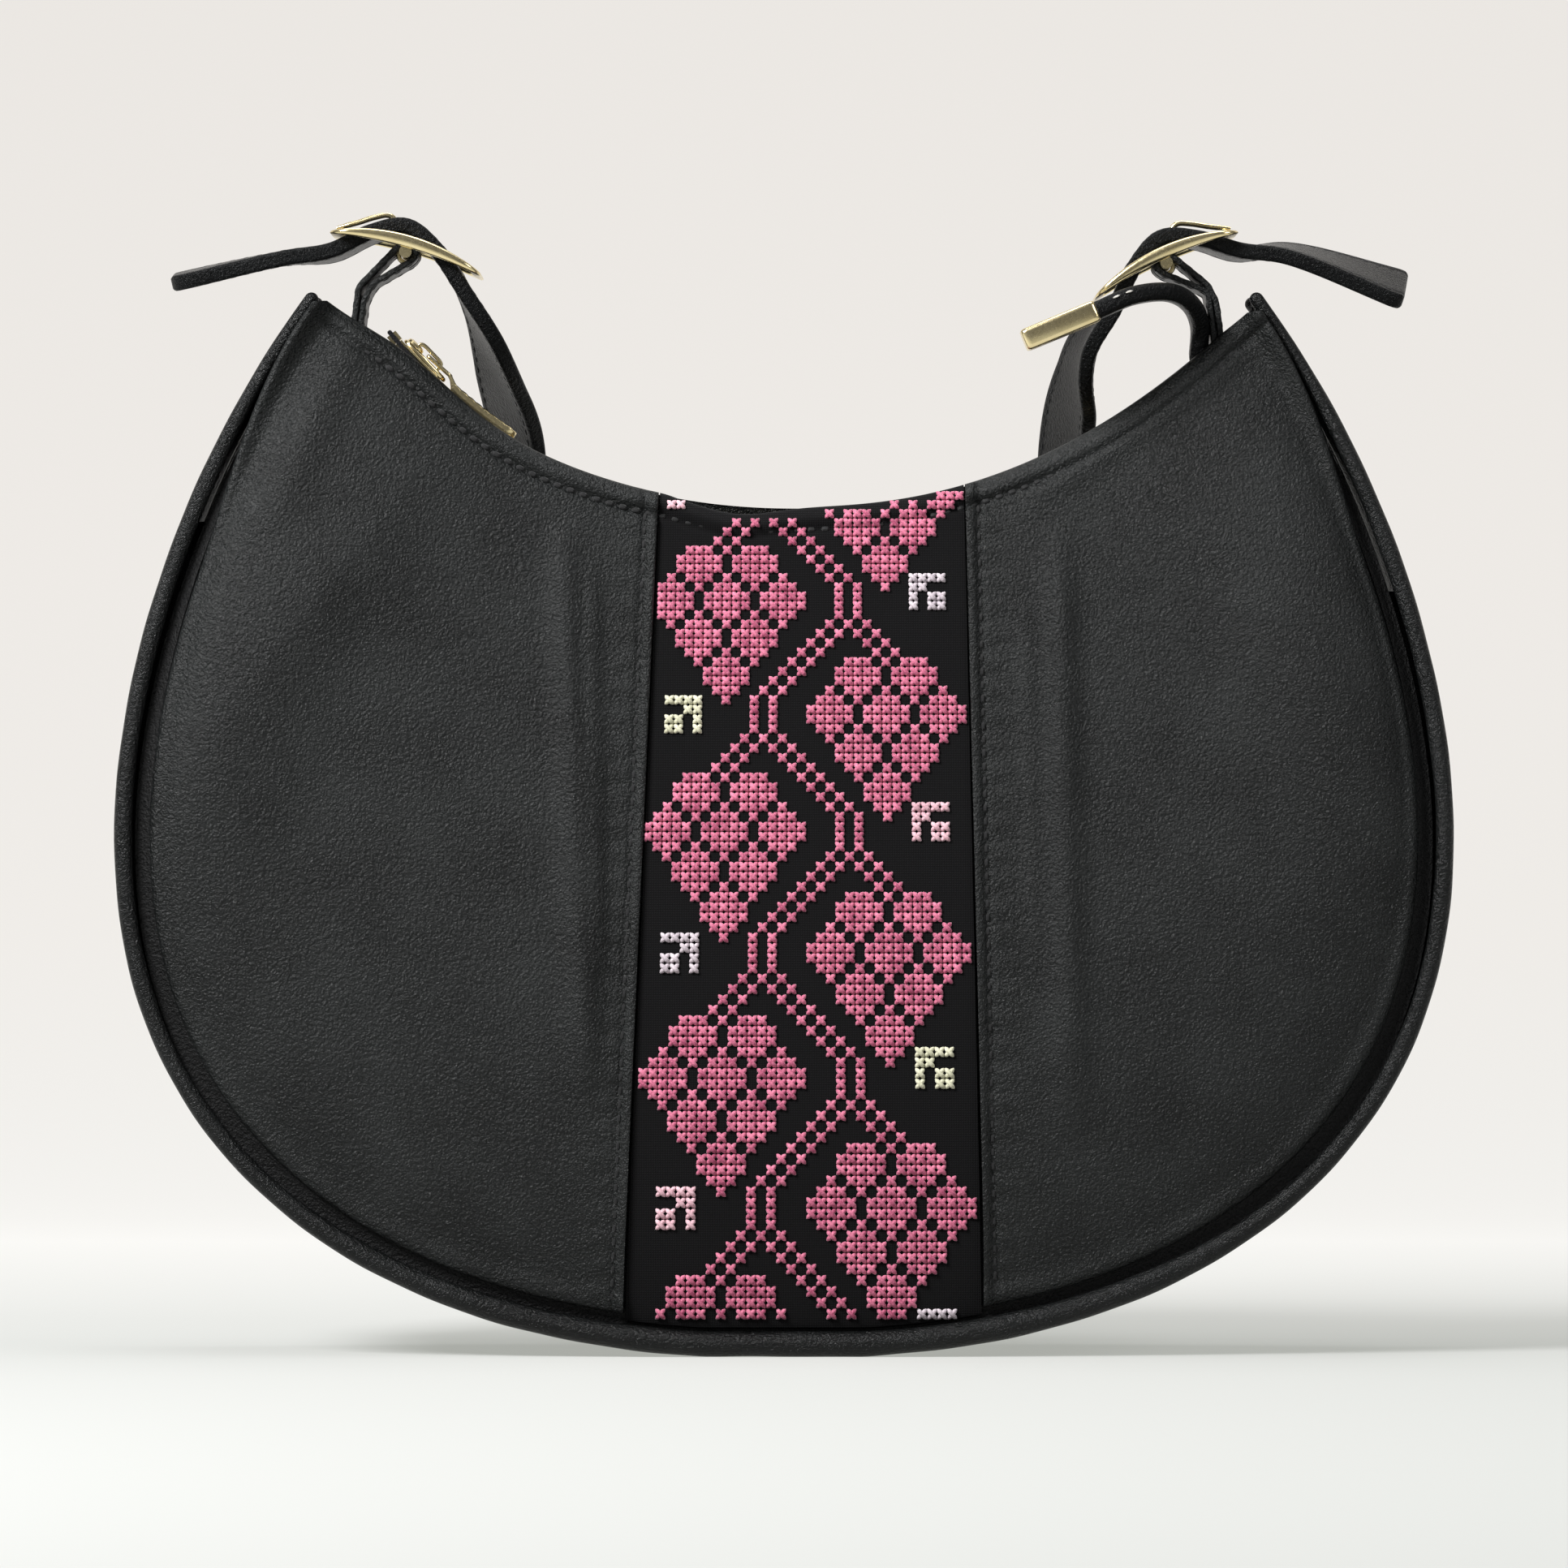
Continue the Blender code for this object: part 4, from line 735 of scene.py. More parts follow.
def colour_between(material, shader, factor, low, high, socket="Base Color"):
    mixed = add_node(material, "MixRGB", Fac=factor, Color1=(*low, 1), Color2=(*high, 1))
    material.node_tree.links.new(mixed.outputs[0], shader.inputs[socket])


def value_between(material, shader, factor, low, high, socket="Roughness"):
    ranged = add_node(material, "MapRange", Value=factor, To_Min=low, To_Max=high)
    material.node_tree.links.new(ranged.outputs[0], shader.inputs[socket])


def bump_from(material, shader, height, strength, distance, before=None):
    made = add_node(material, "Bump", Height=height, Strength=strength, Distance=distance)
    if before is not None:
        material.node_tree.links.new(before.outputs[0], made.inputs["Normal"])
    material.node_tree.links.new(made.outputs[0], shader.inputs["Normal"])
    return made


def leather_material(name, low, high, grain_scale, roughness, shine=0.22):
    """Fine pebbled grain, with creases between the pebbles and uneven polish."""
    material, shader, place = make_material(name, "black_leather", roughness,
                                            Specular_IOR_Level=shine)
    cells = add_node(material, "TexVoronoi", feature="DISTANCE_TO_EDGE", Vector=place,
                     Scale=grain_scale).outputs["Distance"]
    broad = noise(material, place, scale=45.0, detail=5.0)
    fine = noise(material, place, scale=2200.0, detail=3.0)
    blend = combine(material, "MULTIPLY_ADD", fine, 0.8, broad)
    colour_between(material, shader, stretch(material, blend, 0.65, 1.15), low, high)
    value_between(material, shader, broad, low=roughness - 0.12, high=roughness + 0.10)
    pebbles = stretch(material, cells, 0.0, 0.25)
    mottle = noise(material, place, scale=1200.0, detail=4.0)
    first = bump_from(material, shader, mottle, strength=0.9, distance=0.0008)
    second = bump_from(material, shader, pebbles, strength=0.6, distance=0.00012, before=first)
    bump_from(material, shader, fine, strength=0.5, distance=0.0001, before=second)
    return material


def woven_material(name, slot, low, high, period, roughness):
    """Plain weave: raised threads across and along."""
    material, shader, place = make_material(name, slot, roughness, Specular_IOR_Level=0.12,
                                            Sheen_Weight=0.04, Sheen_Roughness=0.6)
    scale = 2 * math.pi / (20 * period)
    across = add_node(material, "TexWave", bands_direction="X", Vector=place, Scale=scale)
    along = add_node(material, "TexWave", bands_direction="Z", Vector=place, Scale=scale)
    woven = combine(material, "MULTIPLY", across.outputs[1], along.outputs[1])
    fuzz = noise(material, place, scale=1800.0, detail=4.0)
    colour_between(material, shader, combine(material, "MULTIPLY", woven, fuzz), low, high)
    first = bump_from(material, shader, woven, strength=0.6, distance=0.0002)
    bump_from(material, shader, fuzz, strength=0.3, distance=0.0001, before=first)
    return material


def thread_material(name, slot, low, high, roughness=0.62):
    """Twisted cotton with light and dark fibres."""
    material, shader, place = make_material(name, slot, roughness, Specular_IOR_Level=0.35,
                                            Sheen_Weight=0.25, Sheen_Roughness=0.45)
    strands = noise(material, place, scale=2400.0, detail=3.0)
    broad = noise(material, place, scale=260.0, detail=2.0)
    blend = combine(material, "ADD", strands, broad)
    colour_between(material, shader, stretch(material, blend, 0.75, 1.25), low, high)
    bump_from(material, shader, strands, strength=0.5, distance=0.0001)
    return material


def gold_material(name, low, high, roughness):
    """Plated metal with faint brush marks and handling wear."""
    material, shader, place = make_material(name, "gold_metal", roughness, 1.0)
    cloud = noise(material, place, scale=160.0, detail=5.0)
    marks = noise(material, place, scale=1500.0, detail=6.0, Distortion=1.5)
    colour_between(material, shader, cloud, low, high)
    value_between(material, shader, marks, low=roughness - 0.08, high=roughness + 0.12)
    bump_from(material, shader, marks, strength=0.12, distance=0.00005)
    return material


LEATHER_SKIN = leather_material("leather_skin", (0.0028, 0.0032, 0.0032),
                                (0.0125, 0.0137, 0.0137), grain_scale=1300.0, roughness=0.37)
CORD_SKIN = leather_material("cord_skin", (0.0016, 0.0018, 0.0018), (0.007, 0.0076, 0.0076),
                             grain_scale=1500.0, roughness=0.25)
# Near-black copy of the leather for the sunk welts: its darkness is painted shade for the groove
# between panel and cord
WELT_PAINTED_SHADE = leather_material("welt_painted_shade", (0.0006, 0.0006, 0.0007), (0.002, 0.002, 0.0022),
                             grain_scale=1500.0, roughness=0.60)
STRAP_SKIN = leather_material("strap_skin", (0.0016, 0.0017, 0.0019), (0.006, 0.0065, 0.0068),
                              grain_scale=1700.0, roughness=0.30, shine=0.10)
CLOTH = woven_material("band_cloth", "band_fabric", (0.0012, 0.0011, 0.0014),
                       (0.007, 0.0066, 0.0075), period=0.0006, roughness=0.9)
TAPE_CLOTH = woven_material("tape_cloth", "black_textile", (0.006, 0.006, 0.007),
                            (0.022, 0.022, 0.024), period=0.0007, roughness=0.85)
LINING_CLOTH = woven_material("lining_cloth", "black_textile", (0.012, 0.012, 0.013),
                              (0.035, 0.035, 0.037), period=0.0005, roughness=0.8)
DARK_THREAD = thread_material("dark_thread", "black_leather", (0.0012, 0.0012, 0.0014),
                              (0.007, 0.007, 0.008))
LIGHT_THREAD = thread_material("light_thread", "black_leather", (0.42, 0.40, 0.37),
                               (0.80, 0.78, 0.72))
ROSE = thread_material("rose_thread", "band_fabric", (0.32, 0.047, 0.11), (0.72, 0.20, 0.315))
LILAC = thread_material("lilac_thread", "band_fabric", (0.42, 0.36, 0.40),
                        (0.68, 0.60, 0.64))
YELLOW = thread_material("yellow_thread", "band_fabric", (0.50, 0.49, 0.34),
                         (0.76, 0.74, 0.56))
PALE = thread_material("pale_rose_thread", "band_fabric", (0.56, 0.30, 0.35),
                       (0.84, 0.56, 0.62))
GOLD = gold_material("pale_gold", (0.78, 0.62, 0.31), (0.95, 0.83, 0.52),
                     roughness=0.22)


def spaced(first, last, count, zone, dense):
    """Values from first to last, closer together within a zone at each end."""
    share = np.linspace(0, 1, dense) ** 1.5
    middle = np.linspace(first + zone, last - zone, count)
    return np.concatenate([first + zone * share[:-1], middle, last - zone * share[-2::-1]])


def wall_rows(x_mouth, count, start=0.0):
    """Shares down the wall at each column, closer together near the mouth and the seam."""
    length = line_length(x_mouth)
    high = np.minimum(MOUTH_ZONE, MOUTH_ZONE_SHARE * length)
    low = np.minimum(SEAM_ZONE, SEAM_ZONE_SHARE * length)
    near = np.linspace(0, 1, 22)[:-1, None] ** 1.3 * high
    middle = high + (length - high - low) * np.linspace(0, 1, count)[:, None]
    far = length - low * (1 - np.linspace(0, 1, 14)[1:, None]) ** 1.5
    distance = np.concatenate([near, middle, far]) + 0 * length
    return (start + distance * (1 - start / length)) / length


def wall_strip(side, x_mouth, v, high, low, push=0.0):
    """Closed strip between two distances from the plain wall."""
    return Shape().shell(wall(side, x_mouth, v, high) + push, wall(side, x_mouth, v, low) + push)


def panel(name, side, first, last, columns, seams, node):
    x_mouth = spaced(first, last, columns, PANEL_ZONE, 16)
    v = wall_rows(x_mouth, 110)
    strip = wall_strip(side, x_mouth, v, leather_lift(side, x_mouth, v, seams),
                       cover_lift(x_mouth, v) - LEATHER, edge_push(x_mouth, v))
    strip.build(name, LEATHER_SKIN, "bag", (node,), 50)


def welt(word, side):
    """Sunk strip between the panels' edges and the cord, in near-black leather that paints the
    groove's shade.
    """
    x_mouth = spaced(MOUTH_STOPS[0], MOUTH_STOPS[3], 260, WELT_ZONE, 10)
    _, _, _, length, _, share = line_of(x_mouth)
    in_band = over_band(side, x_mouth)
    last = length + PANEL_INSET - WELT_REACH_SHARE * cord_radius(share)
    first = np.where(in_band, length + GAP, length + edge_shift(share) - WELT_OVERLAP)
    first = np.minimum(first, last - GAP)
    v = (first + (last - first) * np.linspace(0, 1, 6)[:, None]) / length
    strip = wall_strip(side, x_mouth, v, -WELT_DEPTH, -WELT_DEPTH - LEATHER / 2)
    strip.build(word + "_welt", WELT_PAINTED_SHADE, "bag")


def band_sag(x_mouth):
    return BAND_SAG * bump(x_mouth, BAND_SAG_PLACE, BAND_SAG_SPREAD) * (
        smooth_step((x_mouth + BAND_LEFT_TOP) / BAND_SAG_EDGE))


def band_lift(x_mouth, v):
    """The cloth lies a little lower than the leather and waves between its seams."""
    length = line_length(x_mouth)
    point = wall(-1, x_mouth, v)
    from_mouth = v * length - band_sag(x_mouth)
    lift = -BAND_RECESS + SWELL / 2 * ripple(point[..., 0] * 1.3, point[..., 2])
    lift += EDGE_PUFF * bump(from_mouth, MOUTH_STITCH / 2, MOUTH_STITCH / 3)
    lift -= GROOVE_DEPTH / 2 * bump(from_mouth, MOUTH_STITCH, GROOVE_WIDTH)
    inside = np.clip(EDGE_ROUND - from_mouth, 0, EDGE_ROUND)
    return lift - EDGE_ROUND + np.sqrt(EDGE_ROUND ** 2 - inside ** 2)


def centre_band():
    x_mouth = spaced(-BAND_LEFT_TOP + GAP / 2, BAND_RIGHT_TOP - GAP / 2, 80, BAND_ZONE, 6)
    v = wall_rows(x_mouth, 120, band_sag(x_mouth))
    strip = wall_strip(-1, x_mouth, v, band_lift(x_mouth, v), -LEATHER)
    strip.build("centre_band", CLOTH, "bag", ("front_centre_band",), 50)


def add_threads(shape, routes, normals, half_width, half_height, sides=6):
    """Threads: routes and normals are arrays of (threads, stations, 3), with tapered ends."""
    count, stations = routes.shape[:2]
    tangent = unit(np.gradient(routes, axis=1))
    across = unit(np.cross(tangent, normals))
    rise = np.cross(across, tangent)
    taper = np.sqrt(1 - THREAD_TAPER_SHARE * np.linspace(-1, 1, stations) ** 6)
    taper = taper[None, :, None, None]
    angle = circle(sides)
    ring = (across[:, :, None, :] * (np.cos(angle) * half_width)[None, None, :, None]
            + rise[:, :, None, :] * (np.sin(angle) * half_height)[None, None, :, None])
    points = routes[:, :, None, :] + ring * taper
    faces = grid_faces(stations, sides, closed_columns=True)
    total = stations * sides
    every = (faces[None] + (np.arange(count) * total)[:, None, None]).reshape(-1, 4).tolist()
    for k in range(count):
        base = k * total
        every.append([base + j for j in range(sides)][::-1])
        every.append([base + total - sides + j for j in range(sides)])
    shape.add(points, every)


def stitch_row(shape, route, normals, pitch=STITCH_PITCH, length=STITCH_LENGTH,
               radius=THREAD_RADIUS, rise=STITCH_RISE, start=0.5, width_share=1.0):
    """Even stitches along a route, each bowed out of the surface."""
    route = np.asarray(route, dtype=float)
    normals = np.broadcast_to(np.asarray(normals, dtype=float), route.shape)
    along = running(step_lengths(route))
    middles = np.arange(start * pitch, along[-1] - length / 2, pitch)
    turn = np.linspace(-1, 1, 5)
    places = middles[:, None] + turn * length / 2
    line = values_at(places, along, route)
    out = unit(values_at(places, along, normals))
    bow = (1 - turn ** 2) * rise - radius * THREAD_DIP_SHARE * turn ** 6
    line = line + out * bow[None, :, None]
    add_threads(shape, line, out, radius * width_share, radius)


def wall_stitches():
    """Rows along the mouth and beside the band's seams."""
    for word, side in SIDES:
        shape = Shape()
        x_mouth = np.linspace(MOUTH_STOPS[0] + ROW_END, MOUTH_STOPS[3] - ROW_END, 400)
        length = line_length(x_mouth)
        in_band = over_band(side, x_mouth)
        v = MOUTH_STITCH / length + (
            np.where(in_band, SAG_STITCH_SHARE * band_sag(x_mouth) / length, 0))
        lift = np.where(in_band, -BAND_RECESS, 0.0) - GROOVE_DEPTH / 2
        stitch_row(shape, wall(side, x_mouth, v, lift), (0.0, side, STITCH_LEAN),
                   width_share=MOUTH_THREAD_WIDTH_SHARE)
        if side < 0:
            for seam_x, way in ((-BAND_LEFT_TOP, -1), (BAND_RIGHT_TOP, 1)):
                v = np.linspace(*SEAM_ROW_ENDS, 300)
                guide = wall(side, seam_x, v)
                x_line, v_line = locate(guide[:, 0] + way * SEAM_STITCH, guide[:, 2])
                stitch_row(shape, wall(side, x_line, v_line, -GROOVE_DEPTH / 2),
                           (0.0, side, 0.0), width_share=SEAM_THREAD_WIDTH_SHARE)
        shape.build(word + "_stitches", DARK_THREAD, "bag")


def diamond(cells, column, row, colour, lacks_top):
    """One berry: rows of 1, 3, 5, 5, 3 and 1 stitches, from its first row down."""
    for k, half in enumerate((0, 1, 2, 2, 1, 0)):
        if k == 0 and lacks_top:
            continue
        for c in range(column - half, column + half + 1):
            cells[(c, row + k)] = colour


def pattern_cells():
    """Winding stem with berry clusters on both sides, and small broken squares between."""
    cells = {}
    for row in range(*ROWS):
        phase = row % REPEAT
        stem = 9 if phase < 4 else 12 - phase if phase < 12 else 0 if phase < 16 else phase - 15
        cells[(stem, row)] = cells[(stem + 2, row)] = "rose"
        for column, shift in ((10, 4), (12, 4), (11, 5), (13, 5), (12, 6), (14, 6), (13, 7),
                              (15, 7), (14, 8)):
            if phase == shift:
                cells[(column, row)] = "rose"
            if phase == shift + 12:
                cells[(11 - column, row)] = "rose"
    for centre, first, turns in ((14, 7, range(-1, 3)), (-3, -5, range(0, 4))):
        for k in turns:
            top = first + REPEAT * k
            for offset, down in ((-3, 0), (3, 0), (-6, 4), (0, 4), (6, 4), (-3, 8), (3, 8),
                                 (0, 12)):
                diamond(cells, centre + offset, top + down, "rose", down == 0)
    square = ("1111", "1100", "1011", "1011")
    right = zip((-1, 23, 47, 71), ("lilac", "pale", "yellow", "lilac"))
    left = zip((-12, 12, 36, 60), ("pale", "yellow", "lilac", "pale"))
    for first_column, rows, mirrored in ((17, right, False), (-9, left, True)):
        for top, colour in rows:
            for r, marks in enumerate(square):
                for c, mark in enumerate(marks[::-1] if mirrored else marks):
                    if mark == "1":
                        cells[(first_column + c, top + r)] = colour
    return cells


def seen_height(row):
    return ROW_BASE - ROW_SPREAD * np.exp(ROW_GROWTH_SHARE * row)


def band_place(column, row):
    """Wall place of a point of the pattern's grid, given in columns and rows."""
    seen_z = seen_height(row)
    high, low = COLUMN_STEP_HEIGHTS
    step = np.interp(-seen_z, (-high, -low), (COLUMN_STEP_HIGH, COLUMN_STEP_LOW))
    seen_x = PATTERN_MIDDLE + (column - PATTERN_MIDDLE_COLUMN) * step
    y = np.full_like(seen_x, BAND_DEPTH)
    for _ in range(3):
        nearer = (VIEW_DISTANCE + y) / VIEW_DISTANCE
        x = seen_x * nearer
        z = VIEW_HEIGHT + (seen_z - VIEW_HEIGHT) * nearer
        x_mouth, v = locate(x, z)
        y = wall(-1, x_mouth, v)[..., 1]
    return x_mouth, v, z


def cross_stitches():
    """One raised cross in each filled cell; its second arm lies over the first."""
    colours = {"rose": ROSE, "lilac": LILAC, "yellow": YELLOW, "pale": PALE}
    cells = pattern_cells()
    turn = np.linspace(-1, 1, 7)
    for word, material in colours.items():
        places = np.array([c for c, colour in cells.items() if colour == word], dtype=float)
        x_mouth, v, z = band_place(places[:, 0], places[:, 1] + 0.5)
        _, bottom_z, top_z, length, _, _ = line_of(x_mouth)
        inside = ((x_mouth > -BAND_LEFT_TOP + CROSS_SIDE_CLEARANCE)
                  & (x_mouth < BAND_RIGHT_TOP - CROSS_SIDE_CLEARANCE)
                  & (v * length - band_sag(x_mouth) > CROSS_TOP_CLEARANCE)
                  & ((1 - v) * length > CROSS_LOW_CLEARANCE)
                  & (z < top_z) & (z > bottom_z))
        places = places[inside]
        shape = Shape()
        for arm, way in enumerate((1, -1)):
            column = places[:, 0:1] + way * CROSS_ARM_SHARE * turn
            row = places[:, 1:2] + 0.5 - CROSS_ARM_SHARE * turn
            x_line, v_line, _ = band_place(column, row)
            x_line = np.clip(x_line, -BAND_LEFT_TOP + GAP, BAND_RIGHT_TOP - GAP)
            rise = CROSS_RISE * (CROSS_BASE_SHARE + (0.5 + 0.5 * arm) * (1 - turn ** 2))
            rise = rise - CROSS_DIP * turn ** 6
            line = wall(-1, x_line, v_line, band_lift(x_line, v_line) + rise)
            normal = np.broadcast_to(-Y_AXIS, line.shape)
            add_threads(shape, line, normal, CROSS_THREAD_RADIUS,
                        CROSS_THREAD_RADIUS * CROSS_FLAT_SHARE)
        shape.build(word + "_cross_stitches", material, "bag", sharp=80)


def piping(word, side):
    """Corded edge from tip to tip, with rounded ends."""
    dome = np.linspace(0, math.pi / 2, 7)[1:] - math.pi / 2
    share = np.linspace(-1, 1, 420)
    cord = cord_radius(share)
    x, z, out_x, out_z = outline_at(share, cord)
    centre = np.stack([x, side * seam_half_at(share), z], axis=1)
    outward = np.stack([out_x, 0 * out_x, out_z], axis=1)
    uneven = cord * (1 + CORD_SWELL * np.sin(share * 57)
                     + CORD_FINE_SWELL * np.sin(share * 131 + 1))
    for at, sign in ((0, -1), (-1, 1)):
        forward = np.array([-outward[at][2], 0, outward[at][0]]) * sign
        push = cord[at] * np.sin(dome + math.pi / 2)[:, None] * forward + centre[at]
        shrink = cord[at] * np.maximum(np.cos(dome + math.pi / 2), CLOSED_SHARE)
        same = np.repeat(outward[at][None], len(push), axis=0)
        pairs = ((centre, push), (outward, same), (uneven, shrink))
        centre, outward, uneven = (
            np.concatenate([new[::-1], old] if sign < 0 else [old, new]) for old, new in pairs)
    grid = rings(centre, outward, np.broadcast_to(Y_AXIS, centre.shape), uneven, 20)
    Shape().grid(grid, closed_columns=True, caps=True).build(
        word + "_corded_edge", CORD_SKIN, "bag", (word + "_piping",), 60)


def gusset():
    """Strip between the corded edges, sunk at its seams and with shallow waves."""
    share = np.linspace(-1, 1, 320)[:, None]
    across = np.linspace(-1, 1, 25)[None, :]
    half = seam_half_at(share) - cord_radius(share) - GAP
    edge = smooth_step((np.abs(across) - GUSSET_FLAT_SHARE) / (1 - GUSSET_FLAT_SHARE))
    wave = GUSSET_WAVE * (1 + np.sin(share * 41 + across * 2)) * (1 - across ** 2)
    layers = []
    for depth in (0.0, LEATHER):
        x, z, _, _ = outline_at(share + 0 * across, GUSSET_DIP * edge + wave + depth)
        layers.append(np.stack([x, across * half, z], axis=-1))
    Shape().shell(*layers).build("gusset_strip", LEATHER_SKIN, "bag", ("gusset",), 50)


def mouth_facings():
    x_mouth = np.linspace(-FACING_REACH, FACING_REACH, 120)
    length = line_length(x_mouth)
    for word, side in SIDES:
        distance = np.linspace(FACING_START, FACING_DEPTH, 8)[:, None]
        if side < 0:
            distance = distance + band_sag(x_mouth)
        strip = wall_strip(side, x_mouth, distance / length, -LEATHER - GAP,
                           -LEATHER - GAP - FACING)
        strip.build(word + "_facing", LEATHER_SKIN, "bag", (word + "_mouth_facing",), 50)


def arc_points(angle, y, radial):
    radius = ZIP_RADIUS - radial
    x = ZIP_CENTRE[0] + radius * np.sin(angle)
    z = ZIP_CENTRE[1] - radius * np.cos(angle)
    return np.stack(np.broadcast_arrays(x, y, z), axis=-1)


def zip_tapes():
    """Tapes with a corded edge beside the teeth."""
    angle = np.linspace(*ZIP_ENDS, 220)[:, None]
    for word, side in SIDES:
        y = np.linspace(TAPE_INNER, TAPE_OUTER, 12)[None, :]
        cord = TAPE / 4 * bump(y, TAPE_INNER + TAPE, TAPE)
        high = arc_points(angle, side * y, TAPE / 2 + cord)
        low = arc_points(angle, side * y, -TAPE / 2 - cord)
        shape = Shape().shell(high, low)
        shape.build(word + "_tape", TAPE_CLOTH, "bag", (word + "_zip_tape",), 50)


def lining():
    """Open sack whose ends draw together, with soft folds."""
    x_mouth = np.linspace(-LINING_REACH, LINING_REACH, 90)
    _, _, _, length, seam, share = line_of(x_mouth)
    t = np.linspace(0, 1, 30)[:, None]
    first, last = (FACING_DEPTH + GAP) / length, 1 - LINING_SEAM / length
    v = first + (last - first) * t
    folds = LINING_FOLD * (1 + np.sin(x_mouth * 260 + t * 3)) * np.sin(math.pi * t) ** 2
    layers = []
    for depth in (LEATHER + 4 * GAP, LEATHER + 7 * GAP):
        front = wall(-1, x_mouth, v, -depth - folds)
        back = wall(1, x_mouth, v, -depth - folds)[::-1]
        across = np.linspace(-GUSSET_FLAT_SHARE, GUSSET_FLAT_SHARE, 7)[:, None]
        floor_x, floor_z, _, _ = outline_at(share, LINING_FLOOR + depth - LEATHER - 4 * GAP)
        floor = np.stack(np.broadcast_arrays(floor_x, across * (seam - PIPING_RADIUS), floor_z),
                         axis=-1)
        sack = np.concatenate([front, floor, back])
        close = np.ones(len(x_mouth))
        close[0] = close[-1] = CLOSED_SHARE
        sack[..., 1] *= close[None, :]
        layers.append(sack)
    Shape().shell(*layers).build("lining_sack", LINING_CLOTH, "bag", ("lining",), 60)


def pocket():
    """Slip pocket on the back of the lining, its top edge standing a little open."""
    x_mouth = np.linspace(-POCKET_HALF_WIDTH, POCKET_HALF_WIDTH, 40)
    v = np.linspace(POCKET_HIGH_SHARE, POCKET_LOW_SHARE, 30)[:, None]
    depth = LEATHER + 9 * GAP + LINING_FOLD * 2
    gape = POCKET_GAPE * bump(v, POCKET_HIGH_SHARE, POCKET_GAPE_SPREAD) * (
        np.cos(x_mouth / POCKET_HALF_WIDTH))
    strip = wall_strip(1, x_mouth, v, -depth - gape, -depth - gape - 2 * GAP)
    strip.build("slip_pocket", LINING_CLOTH, "bag", ("inner_pocket",), 50)


class Axes:
    """Local axes at a place: u runs along, w up and y across."""

    def __init__(self, place, along, up):
        self.place, self.along, self.up = place, along, up

    def at(self, u, w, y=0.0):
        u, w, y = np.broadcast_arrays(u, w, y)
        return (self.place + self.along * u[..., None] + self.up * w[..., None]
                + Y_AXIS * y[..., None])


def slider_axes():
    x, z = arc_points(SLIDER_ANGLE, 0.0, 0.0)[[0, 2]]
    forward = np.array([math.cos(SLIDER_ANGLE), 0, math.sin(SLIDER_ANGLE)])
    up = np.array([-math.sin(SLIDER_ANGLE), 0, math.cos(SLIDER_ANGLE)])
    return Axes(np.array([x, 0.0, z]), forward, up)


def oval(half_length, half_width, squareness, count=48, taper=0.0):
    """Rounded outline of (along, y) points, narrower ahead where it tapers."""
    turn = circle(count)
    along = half_length * np.sign(np.cos(turn)) * np.abs(np.cos(turn)) ** squareness
    y = half_width * np.sign(np.sin(turn)) * np.abs(np.sin(turn)) ** squareness
    return along, y * (1 - taper * (along / half_length + 1) / 2)


def add_plate(shape, outline, levels, axes):
    """Solid of stacked outlines: each level is (height, share of the outline's size)."""
    along, y = outline
    grid = [axes.at(along * share, height, y * share) for height, share in levels]
    shape.grid(np.array(grid), closed_columns=True, caps=True)


def rounded_rectangle(half_u, half_y, corner, straight, turn):
    """Points round a rectangle with round corners, the same number for any size."""
    points = []
    for cu, cy, start in ((1, 1, 0), (-1, 1, 1), (-1, -1, 2), (1, -1, 3)):
        for k in range(turn + 1):
            angle = (start + k / turn) * math.pi / 2
            points.append((cu * (half_u - corner) + corner * math.cos(angle),
                           cy * (half_y - corner) + corner * math.sin(angle)))
        here = points[-1]
        nu, ny = ((-1, 1), (-1, -1), (1, -1), (1, 1))[start]
        angle = ((start + 1) % 4) * math.pi / 2
        after = (nu * (half_u - corner) + corner * math.cos(angle),
                 ny * (half_y - corner) + corner * math.sin(angle))
        for k in range(1, straight):
            points.append(tuple(np.array(here) + (np.array(after) - here) * k / straight))
    return np.array(points)


# Section of a metal rail: share across it, and share of its height
RAIL_SECTION = (
    (0.0, 0.30), (0.0, 0.62), (0.05, 0.84), (0.16, 0.96), (0.34, 1.0), (0.66, 1.0),
    (0.84, 0.96), (0.95, 0.84), (1.0, 0.62), (1.0, 0.30), (0.93, 0.10), (0.78, 0.0),
    (0.22, 0.0), (0.07, 0.10),
)


def add_ring(shape, outer, inner, place_at, low, high):
    """Closed rail between two matched outlines; low and high give its faces at u."""
    grid = []
    for across, rise in RAIL_SECTION:
        u, y = (outer * (1 - across) + inner * across).T
        grid.append(place_at(u, low(u) + (high(u) - low(u)) * rise, y))
    shape.grid(np.array(grid).transpose(1, 0, 2), closed_rows=True, closed_columns=True)


def catmull_rom(points, per_span):
    """Smooth curve through the points, with even parameter steps in each span."""
    points = [np.asarray(p, dtype=float) for p in points]
    ends = [2 * points[0] - points[1]] + points + [2 * points[-1] - points[-2]]
    curve = []
    for i in range(1, len(ends) - 2):
        four = ends[i - 1:i + 3]
        knots = [0.0]
        for p, q in zip(four, four[1:]):
            knots.append(knots[-1] + math.sqrt(np.linalg.norm((q - p)[:3])))
        for k in range(per_span):
            t = knots[1] + (knots[2] - knots[1]) * k / per_span
            curve.append(knot_blend(four, knots, t))
    curve.append(points[-1])
    return np.array(curve)


def knot_blend(points, knots, t):
    """Pyramid of linear blends between the four points, at parameter t."""
    row = list(points)
    for pairs in (((0, 1), (1, 2), (2, 3)), ((0, 2), (1, 3)), ((1, 2),)):
        row = [
            ((knots[high] - t) * row[i] + (t - knots[low]) * row[i + 1])
            / (knots[high] - knots[low])
            for i, (low, high) in enumerate(pairs)
        ]
    return row[0]


def resample(curve, distances):
    return values_at(distances, running(step_lengths(curve)), curve)


def curve_length(curve):
    return float(step_lengths(curve).sum())


